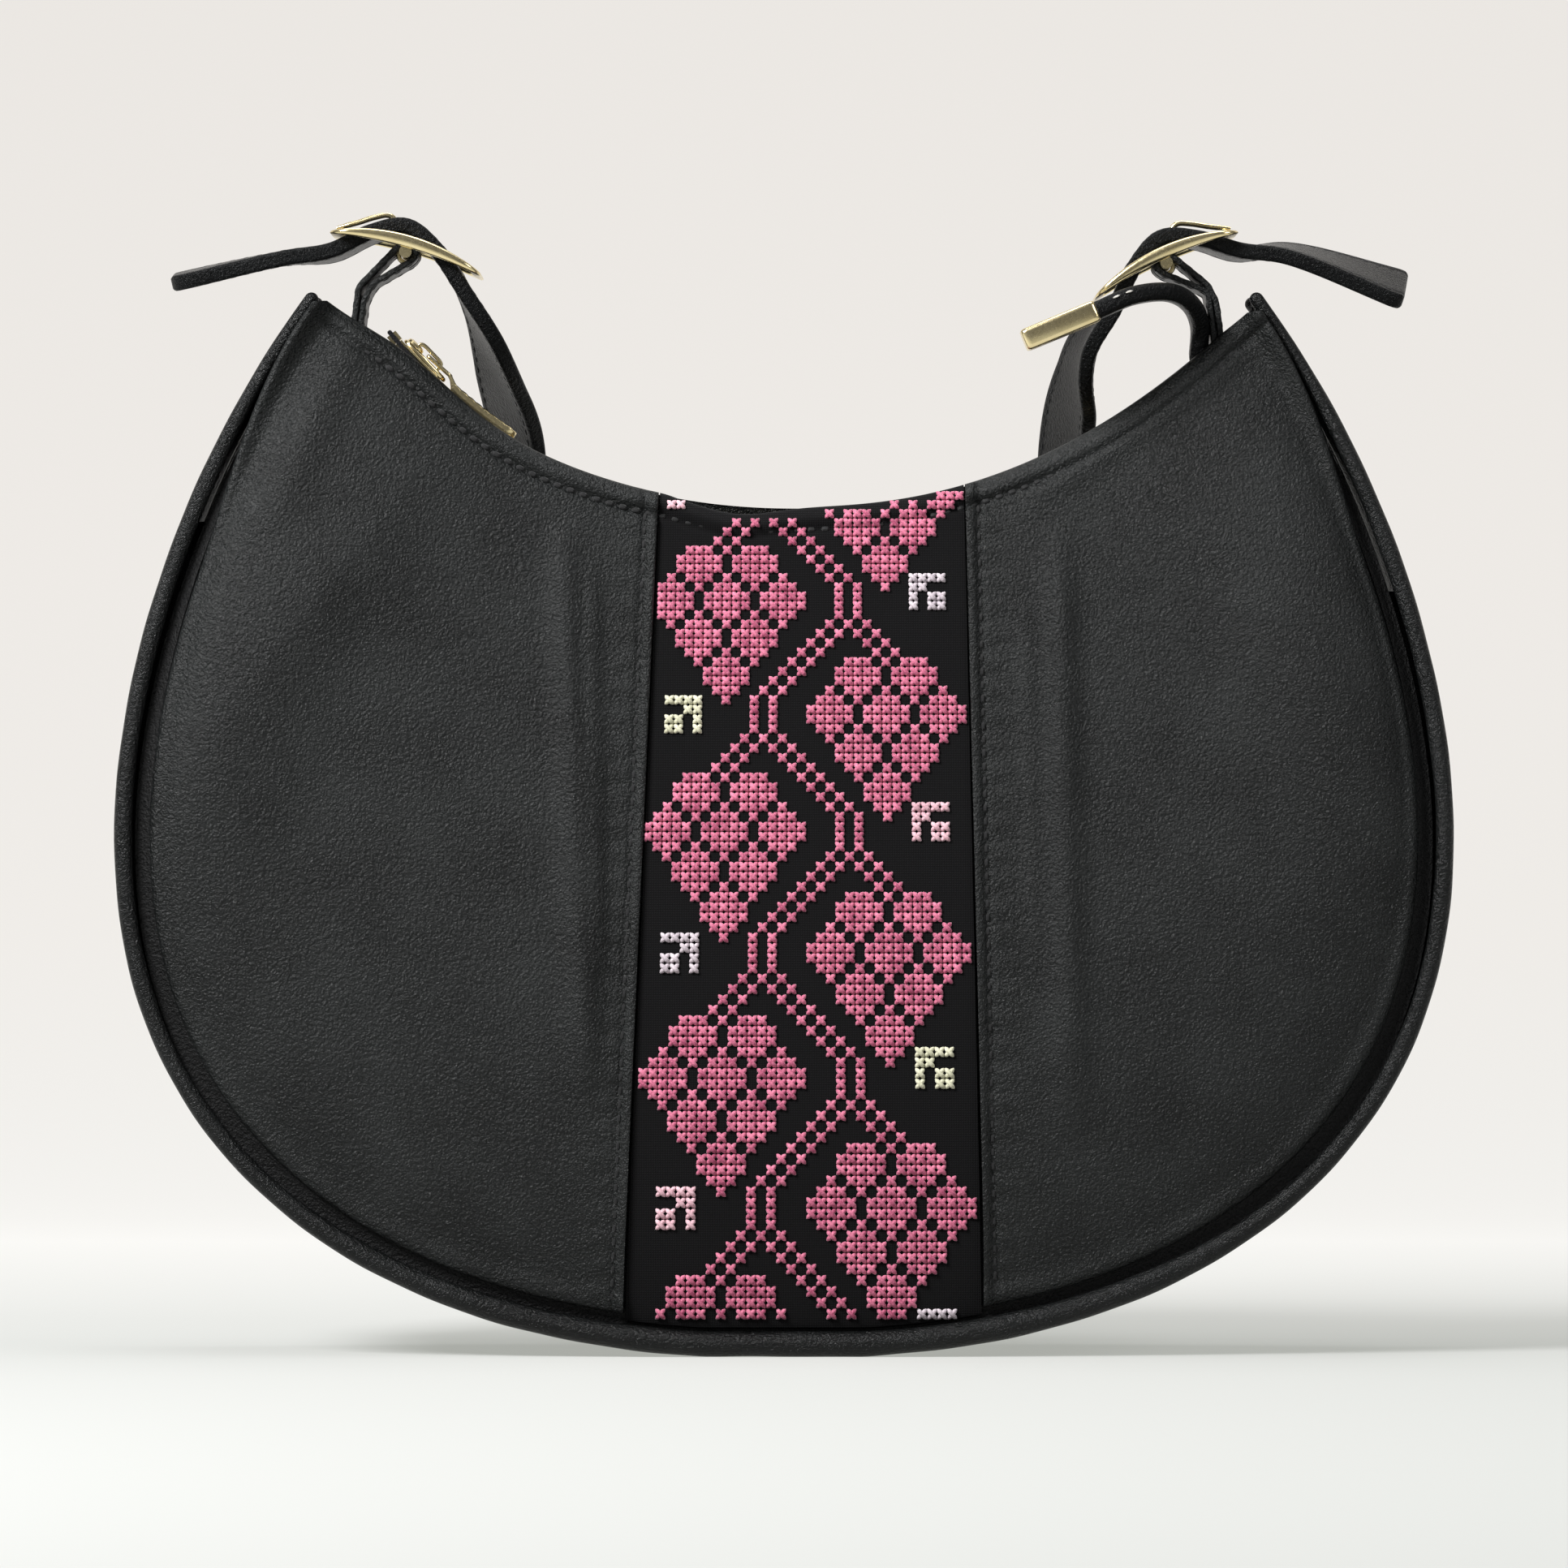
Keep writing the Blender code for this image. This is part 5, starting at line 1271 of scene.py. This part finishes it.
def ribbon_axes(stations):
    """Places, and the directions of width and of the face, at each (x, y, z, roll)."""
    places, rolls = stations[:, :3], stations[:, 3:4]
    tangent = unit(np.gradient(places, axis=0))
    width = unit(Y_AXIS - tangent * tangent[:, 1:2])
    normal = np.cross(tangent, width)
    turned = width * np.cos(rolls) + normal * np.sin(rolls)
    return places, turned, np.cross(tangent, turned)


def strip_section(half_width, half_thickness, corner, stitch=0.0, groove=0.0):
    """Section points round a strip, with a groove where it is stitched."""
    inner = half_width - corner
    turn = np.linspace(0, math.pi / 2, 5)
    a = np.concatenate([inner + corner * np.cos(turn), np.linspace(inner, 0, 18)[1:-1]])
    flat = half_thickness - corner
    b = np.concatenate([flat + corner * np.sin(turn), np.full(16, half_thickness)])
    b = b - groove * bump(a, half_width - stitch, SECTION_GROOVE_SPREAD)
    quarter = list(zip(a, b))
    half = quarter + [(0.0, half_thickness)] + [(-p, q) for p, q in quarter[::-1]]
    return np.array(half + [(-p, -q) for p, q in half])


def add_ribbon(shape, stations, section, width_share=None, height_share=None):
    places, turned, face = ribbon_axes(stations)
    count = len(stations)
    wide = np.ones(count) if width_share is None else width_share
    high = np.ones(count) if height_share is None else height_share
    grid = (places[:, None]
            + turned[:, None] * (section[:, 0][None] * wide[:, None])[..., None]
            + face[:, None] * (section[:, 1][None] * high[:, None])[..., None])
    shape.grid(grid, closed_columns=True, caps=True)


def buckle_axes(side, place, tilt):
    """Axes of one buckle: along towards the bag's middle, up out of its top."""
    return Axes(np.array([place[0], 0.0, place[1]]),
                np.array([-side * math.cos(tilt), 0.0, -math.sin(tilt)]),
                np.array([-side * math.sin(tilt), 0.0, math.cos(tilt)]))


def plate_top(u):
    return BUCKLE_BOW_TOP * (1 - (u / BUCKLE_HALF_LENGTH) ** 2) + BUCKLE_END_HALF_THICKNESS


def plate_bottom(u):
    return BUCKLE_BOW_BOTTOM * (1 - (u / BUCKLE_HALF_LENGTH) ** 2) - BUCKLE_END_HALF_THICKNESS


def add_tube(shape, route, radii, sides=14):
    route = np.asarray(route, dtype=float)
    tangent = unit(np.gradient(route, axis=0))
    side = Y_AXIS - tangent * tangent[:, 1:2]
    side[np.linalg.norm(side, axis=1) < 0.1] = np.array([1.0, 0.0, 0.0])
    side = unit(side)
    up = np.cross(tangent, side)
    grid = rings(route, side, up, np.broadcast_to(radii, len(route)), sides)
    shape.grid(grid, closed_columns=True, caps=True)


def buckle_frame(word, buckle):
    shape = Shape()
    outer = rounded_rectangle(BUCKLE_HALF_LENGTH, BUCKLE_HALF_WIDTH, BUCKLE_CORNER, 14, 8)
    inner = rounded_rectangle(BUCKLE_HALF_LENGTH - BUCKLE_END_BAR,
                              BUCKLE_HALF_WIDTH - BUCKLE_RAIL, BUCKLE_RAIL / 2, 14, 8)
    add_ring(shape, outer, inner, buckle.at, plate_bottom, plate_top)
    reach = BUCKLE_HALF_WIDTH - BUCKLE_RAIL / 2
    y = np.linspace(-reach, reach, 9)
    add_tube(shape, buckle.at(0.0, BAR_RISE, y), BAR_RADIUS, 24)
    shape.build(word + "_buckle", GOLD, "bag", (word + "_buckle_frame",), 45)


def buckle_prong(word, buckle):
    shape = Shape()
    inner = BAR_RADIUS + PRONG_CLEARANCE
    start = inner + PRONG_CURL_WALL / 2
    root = (-start * math.cos(PRONG_ROOT_ANGLE), BAR_RISE + start * math.sin(PRONG_ROOT_ANGLE))
    local = catmull_rom([np.array((*p, 0.0)) for p in (root, *PRONG_ROUTE)], 8)
    last = len(local) - 1
    radii = PRONG_RADIUS * np.interp(np.arange(len(local)), (0, last - 5, last),
                                     PRONG_TAPER_SHARES)
    add_tube(shape, buckle.at(local[:, 0], local[:, 1]), radii)
    turn = circle(36)
    section = rounded_rectangle(PRONG_CURL_WALL / 2, PRONG_CURL_HALF_WIDTH,
                                PRONG_CURL_CORNER, 3, 3)
    radius = inner + PRONG_CURL_WALL / 2 + section[:, 0]
    ring = buckle.at(radius[None] * np.cos(turn)[:, None],
                     BAR_RISE + radius[None] * np.sin(turn)[:, None], section[:, 1][None])
    shape.grid(ring, closed_rows=True, closed_columns=True)
    shape.build(word + "_prong", GOLD, word + "_prong", (word + "_buckle_prong",), 45,
                buckle.at(0.0, BAR_RISE))


def cut_away(piece, shape, name):
    """Cuts a closed shape out of the piece and keeps the result as its mesh."""
    cutter = shape.build(name, GOLD, None)
    modifier = piece.modifiers.new("Cut", "BOOLEAN")
    modifier.operation = "DIFFERENCE"
    modifier.object = cutter
    modifier.solver = "EXACT"
    graph = bpy.context.evaluated_depsgraph_get()
    mesh = bpy.data.meshes.new_from_object(piece.evaluated_get(graph))
    piece.modifiers.clear()
    piece.data = mesh
    bpy.data.objects.remove(cutter, do_unlink=True)
    mesh.shade_smooth()
    mesh.set_sharp_from_angle(angle=math.radians(50))


def corner_tab(word, buckle, apex, foot):
    """Leather strip out of the corner, round the buckle's bar and back, stitched at its edges."""
    bar = buckle.at(0.0, BAR_RISE)[[0, 2]]
    apex, foot = np.array(apex), np.array(foot)
    heading = math.atan2(apex[1] - bar[1], apex[0] - bar[0])
    inner = BAR_RADIUS + TAB_CLEARANCE
    radius = inner + TAB_LEATHER / 2
    opening = math.acos(inner / np.linalg.norm(apex - bar))
    turn = np.linspace(heading + opening, heading + 2 * math.pi - opening, 40)
    arc = bar + radius * np.stack([np.cos(turn), np.sin(turn)], axis=1)
    neck = (foot - apex) / np.linalg.norm(foot - apex)
    across = np.array([-neck[1], neck[0]]) * (TAB_LEATHER + GAP) / 2
    if (arc[0] - arc[-1]) @ across < 0:
        across = -across
    share = np.linspace(0, 1, 9)[:-1, None]
    first = (foot + across) * (1 - share) + (apex + across) * share
    last = (apex - across) * (1 - share) + (foot - across) * share
    join = np.linspace(0, 1, 7)[1:-1, None]
    route = np.concatenate([
        first, apex + across + (arc[0] - apex - across) * join, arc,
        arc[-1] + (apex - across - arc[-1]) * join, last, (foot - across)[None],
    ])
    route = resample(route, np.arange(0, curve_length(route), TAB_STEP))
    for _ in range(TAB_SMOOTHINGS):
        route[1:-1] = (route[:-2] + 2 * route[1:-1] + route[2:]) / 4
    stations = np.stack([route[:, 0], 0 * route[:, 0], route[:, 1], 0 * route[:, 0]], axis=1)
    shape = Shape()
    add_ribbon(shape, stations, strip_section(TAB_HALF_WIDTH, TAB_LEATHER / 2, TAB_CORNER,
                                              TAB_STITCH, STRAP_GROOVE))
    piece = shape.build(word + "_tab", LEATHER_SKIN, "bag", (word + "_corner_tab",), 50)
    slot = Shape()
    y = np.linspace(-TAB_SLOT_HALF_WIDTH, TAB_SLOT_HALF_WIDTH, 3)
    add_tube(slot, buckle.at(0.0, BAR_RISE, y), radius + TAB_LEATHER / 2 + GAP, 24)
    cut_away(piece, slot, "tab_cutter")
    places, turned, face = ribbon_axes(stations)
    threads = Shape()
    for way in (-1, 1):
        for out in (face, -face):
            line = (places + turned * way * (TAB_HALF_WIDTH - TAB_STITCH)
                    + out * TAB_LEATHER / 2)
            stitch_row(threads, line[6:-6], out[6:-6], radius=FLUSH_THREAD, rise=0.0)
    threads.build(word + "_tab_stitches", DARK_THREAD, "bag")


def strap_half(word, buckle, control, rounding, nodes):
    """Strap from a loose end, through its buckle, to the middle of the loop behind the bag."""
    curve = catmull_rom([np.array(p) for p in control], STRAP_STEPS_PER_SPAN)
    middle = np.argmin(np.abs(curve[:, 0]) + 10 * (curve[:, 1] < STRAP_BEHIND))
    curve = curve[:middle + 1]
    total = curve_length(curve)
    round_end, narrow_share = rounding
    near = round_end * (1 - np.cos(np.linspace(0, math.pi / 2, 12)[:-1]))
    distance = np.concatenate([near, np.arange(round_end, total, STRAP_STEP), [total]])
    stations = resample(curve, distance)
    inside = np.clip(round_end - distance, 0, round_end) / round_end
    wide = 1 - narrow_share * (1 - np.sqrt(1 - inside ** 2))
    tip = np.clip(STRAP_STEP - distance, 0, STRAP_STEP) / STRAP_STEP
    high = 1 - STRAP_END_THIN_SHARE * tip ** 2
    shape = Shape()
    section = strip_section(STRAP_HALF_WIDTH, STRAP_THICKNESS / 2, STRAP_CORNER, STRAP_STITCH,
                            STRAP_GROOVE)
    add_ribbon(shape, stations, section, wide, high)
    piece = shape.build(word + "_strap", STRAP_SKIN, None, nodes, 50)
    slot = Shape()
    low = BAR_RISE + BAR_RADIUS - STRAP_CUT_LOW
    corners = rounded_rectangle(*STRAP_SLOT_HALF_SIZES, 4, 5)
    slot.grid(np.array([buckle.at(corners[:, 0] - STRAP_SLOT_MIDDLE, w, corners[:, 1])
                        for w in (low, low + STRAP_THICKNESS + STRAP_CUT_HIGH)]),
              closed_columns=True, caps=True)
    cut_away(piece, slot, "strap_cutter")
    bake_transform(piece)
    places, turned, face = ribbon_axes(stations)
    threads = Shape()
    for way in (-1, 1):
        for out in (-1, 1):
            line = (places + turned * (way * wide * (STRAP_HALF_WIDTH - STRAP_STITCH))[:, None]
                    + face * (out * (STRAP_THICKNESS / 2 - STRAP_THREAD_SINK)))
            stitch_row(threads, line[9:], face[9:] * out, radius=FLUSH_THREAD, rise=0.0)
    stitches = threads.build(word + "_strap_stitches", DARK_THREAD, None)
    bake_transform(stitches)


def threaded(buckle, tail, rolls):
    """Strap's route from its loose end to the inner side of the buckle, as (x, y, z, roll)."""
    local = [*tail, *STRAP_THREADED]
    turns = [*rolls] + [0.0] * len(STRAP_THREADED)
    return [(*buckle.at(u, w), turn) for (u, w), turn in zip(local, turns)]


def shoulder_strap(left, right):
    head = threaded(left, STRAP_LEFT_TAIL, STRAP_LEFT_TAIL_ROLLS)
    tail = threaded(right, STRAP_RIGHT_TAIL, STRAP_RIGHT_TAIL_ROLLS)
    control = head + [*STRAP_LEFT_LEG, STRAP_BOTTOM, *STRAP_RIGHT_LEG[::-1]] + tail[::-1]
    strap_half("left", left, control, STRAP_LEFT_ROUNDING,
               ("left_strap_end", "shoulder_strap"))
    back = [(x, y, z, -roll) for x, y, z, roll in control[::-1]]
    strap_half("right", right, back, STRAP_RIGHT_ROUNDING,
               ("right_strap_end",))


def zip_slider():
    """Two rounded plates with lips, joined in front, and a bridge that holds the puller."""
    slider = slider_axes()
    shape = Shape()
    outline = oval(SLIDER_LENGTH / 2, SLIDER_HALF_WIDTH, SLIDER_SQUARENESS,
                   taper=SLIDER_TAPER_SHARE)
    for low, high in ((SLIDER_INNER, SLIDER_OUTER), (-SLIDER_INNER, -SLIDER_OUTER)):
        levels = [(low + (high - low) * rise, share) for rise, share in SLIDER_LEVELS]
        add_plate(shape, outline, levels, slider)
    reach = SLIDER_INNER + SLIDER_OVERLAP
    web = oval(SLIDER_LENGTH * SLIDER_WEB_SHARE, SLIDER_WEB_HALF_WIDTH,
               SLIDER_WEB_SQUARENESS)
    add_plate(shape, web, ((-reach, 1.0), (reach, 1.0)), slider)
    boss = Axes(slider.at(-SLIDER_BOSS_PLACE, 0.0), slider.along, slider.up)
    levels = [(SLIDER_OUTER + rise, share) for rise, share in SLIDER_BOSS_LEVELS]
    add_plate(shape, oval(*SLIDER_BOSS_HALF_SIZES, SLIDER_BOSS_SQUARENESS), levels, boss)
    along = np.linspace(*LIP_ENDS, 9) * SLIDER_LENGTH
    for way in (-1, 1):
        spread = LIP_SPREAD_SHARE - SLIDER_TAPER_SHARE * along / SLIDER_LENGTH
        y = way * (SLIDER_HALF_WIDTH * spread - LIP_INSET)
        for rise in (-LIP_RISE, LIP_RISE):
            add_ribbon(shape, without_roll(slider.at(along, rise, y)),
                       strip_section(*LIP_SECTION))
    turn = np.linspace(0, math.pi, 25)
    foot = SLIDER_OUTER - BAIL_FOOT
    top = SLIDER_OUTER + BAIL_HOLE_HEIGHT + BAIL_RADIUS
    along = -BAIL_HALF_LENGTH * np.sign(np.cos(turn)) * np.abs(np.cos(turn)) ** BAIL_SQUARENESS
    rise = foot + (top - foot) * np.sin(turn) ** BAIL_SQUARENESS
    add_ribbon(shape, without_roll(slider.at(along, rise)),
               strip_section(BAIL_HALF_WIDTH, BAIL_RADIUS, BAIL_CORNER))
    shape.build("slider", GOLD, "zip_slider", ("zip_slider",), 40,
                (ZIP_CENTRE[0], 0.0, ZIP_CENTRE[1]))


def zip_puller():
    """Tapered bar whose window takes the slider's bridge, lying along the chain."""
    slider = slider_axes()
    pivot = slider.at(0.0, SLIDER_OUTER + BAIL_HOLE_HEIGHT / 2)
    cos, sin = math.cos(PULLER_TILT), math.sin(PULLER_TILT)
    puller = Axes(pivot, slider.along * cos + slider.up * sin,
                  slider.up * cos - slider.along * sin)
    half, corner, middle = PULLER_EYE
    outer = rounded_rectangle(half, PULLER_HALF_WIDTH, corner, 8, 5) + (middle, 0.0)
    hole = rounded_rectangle(*PULLER_HOLE[:3], 8, 5) + (PULLER_HOLE[3], 0.0)
    shape = Shape()
    add_ring(shape, outer, hole, puller.at, lambda u: -PULLER_THICKNESS / 2,
             lambda u: PULLER_THICKNESS / 2)
    u = np.linspace(PULLER_NECK, PULLER_LENGTH, 150)
    lower = PULLER_DIP + PULLER_SLOPE * u - u ** 2 / (2 * ZIP_RADIUS)
    places = puller.at(u, -lower * smooth_step((u - PULLER_NECK) / PULLER_BEND))
    end = np.clip((u - PULLER_LENGTH + PULLER_ROUND) / PULLER_ROUND, 0, 1)
    wide = (PULLER_HALF_WIDTH + (PULLER_TIP_HALF_WIDTH - PULLER_HALF_WIDTH) * u / u[-1]) * (
        np.sqrt(1 - PULLER_END_NARROW_SHARE * end ** 2))
    swell = smooth_step((u - PULLER_SWELL_START) / PULLER_SWELL_LENGTH)
    thick = (PULLER_THICKNESS + PULLER_THICKER * swell) / 2 + (
        PULLER_RIB * np.abs(np.sin(math.pi * u / PULLER_RIB_PITCH)) * (u > PULLER_RIB_START))
    add_ribbon(shape, without_roll(places), strip_section(1.0, 1.0, PULLER_CORNER_SHARE), wide,
               thick * np.sqrt(1 - PULLER_END_THIN_SHARE * end ** 2))
    shape.build("puller", GOLD, "zip_puller", ("zip_puller",), 40, pivot)


def zip_tail():
    """Leather end of the zip with pale stitches, and its metal cap."""
    route = catmull_rom([np.array((*p, 0.0)) for p in TAIL_ROUTE], 12)
    shape = Shape()
    add_ribbon(shape, route, strip_section(TAIL_HALF_WIDTH, TAIL_THICKNESS * TAIL_PUFF_SHARE,
                                           TAIL_CORNER))
    shape.build("zip_tail", STRAP_SKIN, "bag", ("zip_tail_tab",), 50)
    end, before = np.array(TAIL_ROUTE[-1]), np.array(TAIL_ROUTE[-2])
    heading = unit(end - before)
    distance = TAIL_CAP_LENGTH * np.array(TAIL_CAP_STOPS)
    shrink = np.array(TAIL_CAP_SHARES)
    cap = Shape()
    add_ribbon(cap, without_roll(end + heading * (GAP + distance)[:, None]),
               strip_section(TAIL_CAP_HALF_WIDTH, TAIL_CAP_THICKNESS / 2, TAIL_CAP_CORNER),
               shrink, shrink)
    cap.build("tail_end", GOLD, "bag", ("zip_tail_cap",), 40)
    threads = Shape()
    places, turned, face = ribbon_axes(route)
    line = places - turned * TAIL_HALF_WIDTH - face * TAIL_STITCH_DROP
    stitch_row(threads, line[-13:-3], -turned[-13:-3], length=TAIL_STITCH_LENGTH,
               radius=TAIL_THREAD_RADIUS)
    threads.build("zip_tail_stitches", LIGHT_THREAD, "bag")


def backdrop():
    """Pale floor that curves up into a wall; seen directly it keeps a soft shadow."""
    turn = np.linspace(0, math.pi / 2, 40)
    profile = [(y, 0.0) for y in (-BACKDROP_REACH, *BACKDROP_FLOOR_STOPS)]
    profile += [(BACKDROP_START + BACKDROP_RADIUS * math.sin(a),
                 BACKDROP_RADIUS * (1 - math.cos(a))) for a in turn]
    profile += [(profile[-1][0], BACKDROP_RADIUS + rise) for rise in BACKDROP_WALL_STOPS]
    y, z = np.array(profile).T
    x = np.linspace(-BACKDROP_REACH, BACKDROP_REACH, 5)[None, :]
    grid = np.stack(np.broadcast_arrays(x, y[:, None], z[:, None]), axis=-1)
    mesh = bpy.data.meshes.new("backdrop")
    mesh.from_pydata(grid.reshape(-1, 3).tolist(), [], grid_faces(*grid.shape[:2]).tolist())
    mesh.shade_smooth()
    material = bpy.data.materials.new("backdrop")
    material.use_nodes = True
    tree = material.node_tree
    tree.nodes.clear()
    place = add_node(material, "TexCoord").outputs["Object"]
    parts = add_node(material, "SeparateXYZ", Vector=place).outputs
    # Painted light: the floor's glow brightens with distance behind the bag, and the whole glow
    # is graded by height
    behind = add_node(material, "MapRange", Value=parts[1], From_Min=FLOOR_NEAR,
                      From_Max=FLOOR_FAR, To_Max=FLOOR_RISE).outputs[0]
    height = combine(material, "ADD", parts[2], behind)
    ramp = add_node(material, "ValToRGB", Fac=add_node(
        material, "MapRange", Value=height, From_Max=BACKDROP_FADE).outputs[0])
    ramp.color_ramp.elements.remove(ramp.color_ramp.elements[1])
    for k, (share, colour) in enumerate(BACKDROP_COLOURS):
        element = ramp.color_ramp.elements[0] if k == 0 else ramp.color_ramp.elements.new(share)
        element.position = share
        element.color = (*colour, 1)
    glow = add_node(material, "Emission", Color=ramp.outputs[0], Strength=BACKDROP_GLOW)
    shade = add_node(material, "BsdfDiffuse", Color=BACKDROP_SHADE)
    seen = add_node(material, "AddShader", _0=glow.outputs[0], _1=shade.outputs[0])
    plain = add_node(material, "BsdfDiffuse", Color=BACKDROP_PLAIN)
    path = add_node(material, "LightPath")
    either = path.outputs["Is Camera Ray"]
    for ray in ("Is Glossy Ray", "Is Transmission Ray"):
        either = combine(material, "MAXIMUM", either, path.outputs[ray])
    mixed = add_node(material, "MixShader", Fac=either, _1=plain.outputs[0],
                     _2=seen.outputs[0])
    output = add_node(material, "OutputMaterial")
    tree.links.new(mixed.outputs[0], output.inputs["Surface"])
    mesh.materials.append(material)
    link("backdrop", mesh)


def add_light(name, place, target, size, power):
    data = bpy.data.lights.new(name, "AREA")
    data.shape = "RECTANGLE"
    data.size, data.size_y = size
    data.energy = power
    lamp = link(name, data)
    lamp.location = place
    lamp.rotation_euler = (Vector(target) - Vector(place)).to_track_quat("-Z", "Y").to_euler()


def studio():
    for lamp in LAMPS:
        add_light(*lamp)
    world = bpy.data.worlds.new("studio")
    world.use_nodes = True
    background = world.node_tree.nodes["Background"]
    background.inputs["Color"].default_value = WORLD_COLOUR
    background.inputs["Strength"].default_value = WORLD_STRENGTH
    bpy.context.scene.world = world
    data = bpy.data.cameras.new("camera")
    data.sensor_width = SENSOR_WIDTH
    data.lens = SENSOR_WIDTH * VIEW_DISTANCE / FRAME_WIDTH
    camera = link("camera", data)
    camera.location = (0.0, -VIEW_DISTANCE, VIEW_HEIGHT)
    camera.rotation_euler = (math.pi / 2, 0, 0)
    bpy.context.scene.camera = camera
    bpy.context.scene.view_settings.view_transform = "Standard"


def dress():
    edges = (-BAND_LEFT_TOP, BAND_RIGHT_TOP)
    panel("left_panel", -1, MOUTH_STOPS[0], edges[0] - GAP / 2, 84, edges[:1],
          "front_panel_left")
    panel("right_panel", -1, edges[1] + GAP / 2, MOUTH_STOPS[3], 76, edges[1:],
          "front_panel_right")
    panel("rear_panel", 1, MOUTH_STOPS[0], MOUTH_STOPS[3], 200, (), "back_panel")
    centre_band()
    wall_stitches()
    cross_stitches()
    for word, side in SIDES:
        piping(word, side)
        welt(word, side)
    gusset()
    mouth_facings()
    zip_tapes()
    lining()
    pocket()
    left = buckle_axes(-1, BUCKLE_LEFT_PLACE, BUCKLE_LEFT_TILT)
    right = buckle_axes(1, BUCKLE_RIGHT_PLACE, BUCKLE_RIGHT_TILT)
    for word, buckle, apex, foot in (("left", left, TAB_LEFT_APEX, TAB_LEFT_FOOT),
                                     ("right", right, TAB_RIGHT_APEX, TAB_RIGHT_FOOT)):
        buckle_frame(word, buckle)
        buckle_prong(word, buckle)
        corner_tab(word, buckle, apex, foot)
    shoulder_strap(left, right)
    zip_slider()
    zip_puller()
    zip_tail()
    for name in ("front_zip_teeth", "back_zip_teeth", "zip_top_stop", "zip_bottom_stop"):
        bpy.data.objects[name].material_slots[0].material = GOLD


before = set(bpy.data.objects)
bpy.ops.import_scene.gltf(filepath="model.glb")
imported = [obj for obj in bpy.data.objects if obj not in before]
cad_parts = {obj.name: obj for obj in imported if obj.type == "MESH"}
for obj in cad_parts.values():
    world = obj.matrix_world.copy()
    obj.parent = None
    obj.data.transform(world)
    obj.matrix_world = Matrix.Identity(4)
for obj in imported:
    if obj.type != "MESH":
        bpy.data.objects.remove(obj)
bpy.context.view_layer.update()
dress()
backdrop()
studio()
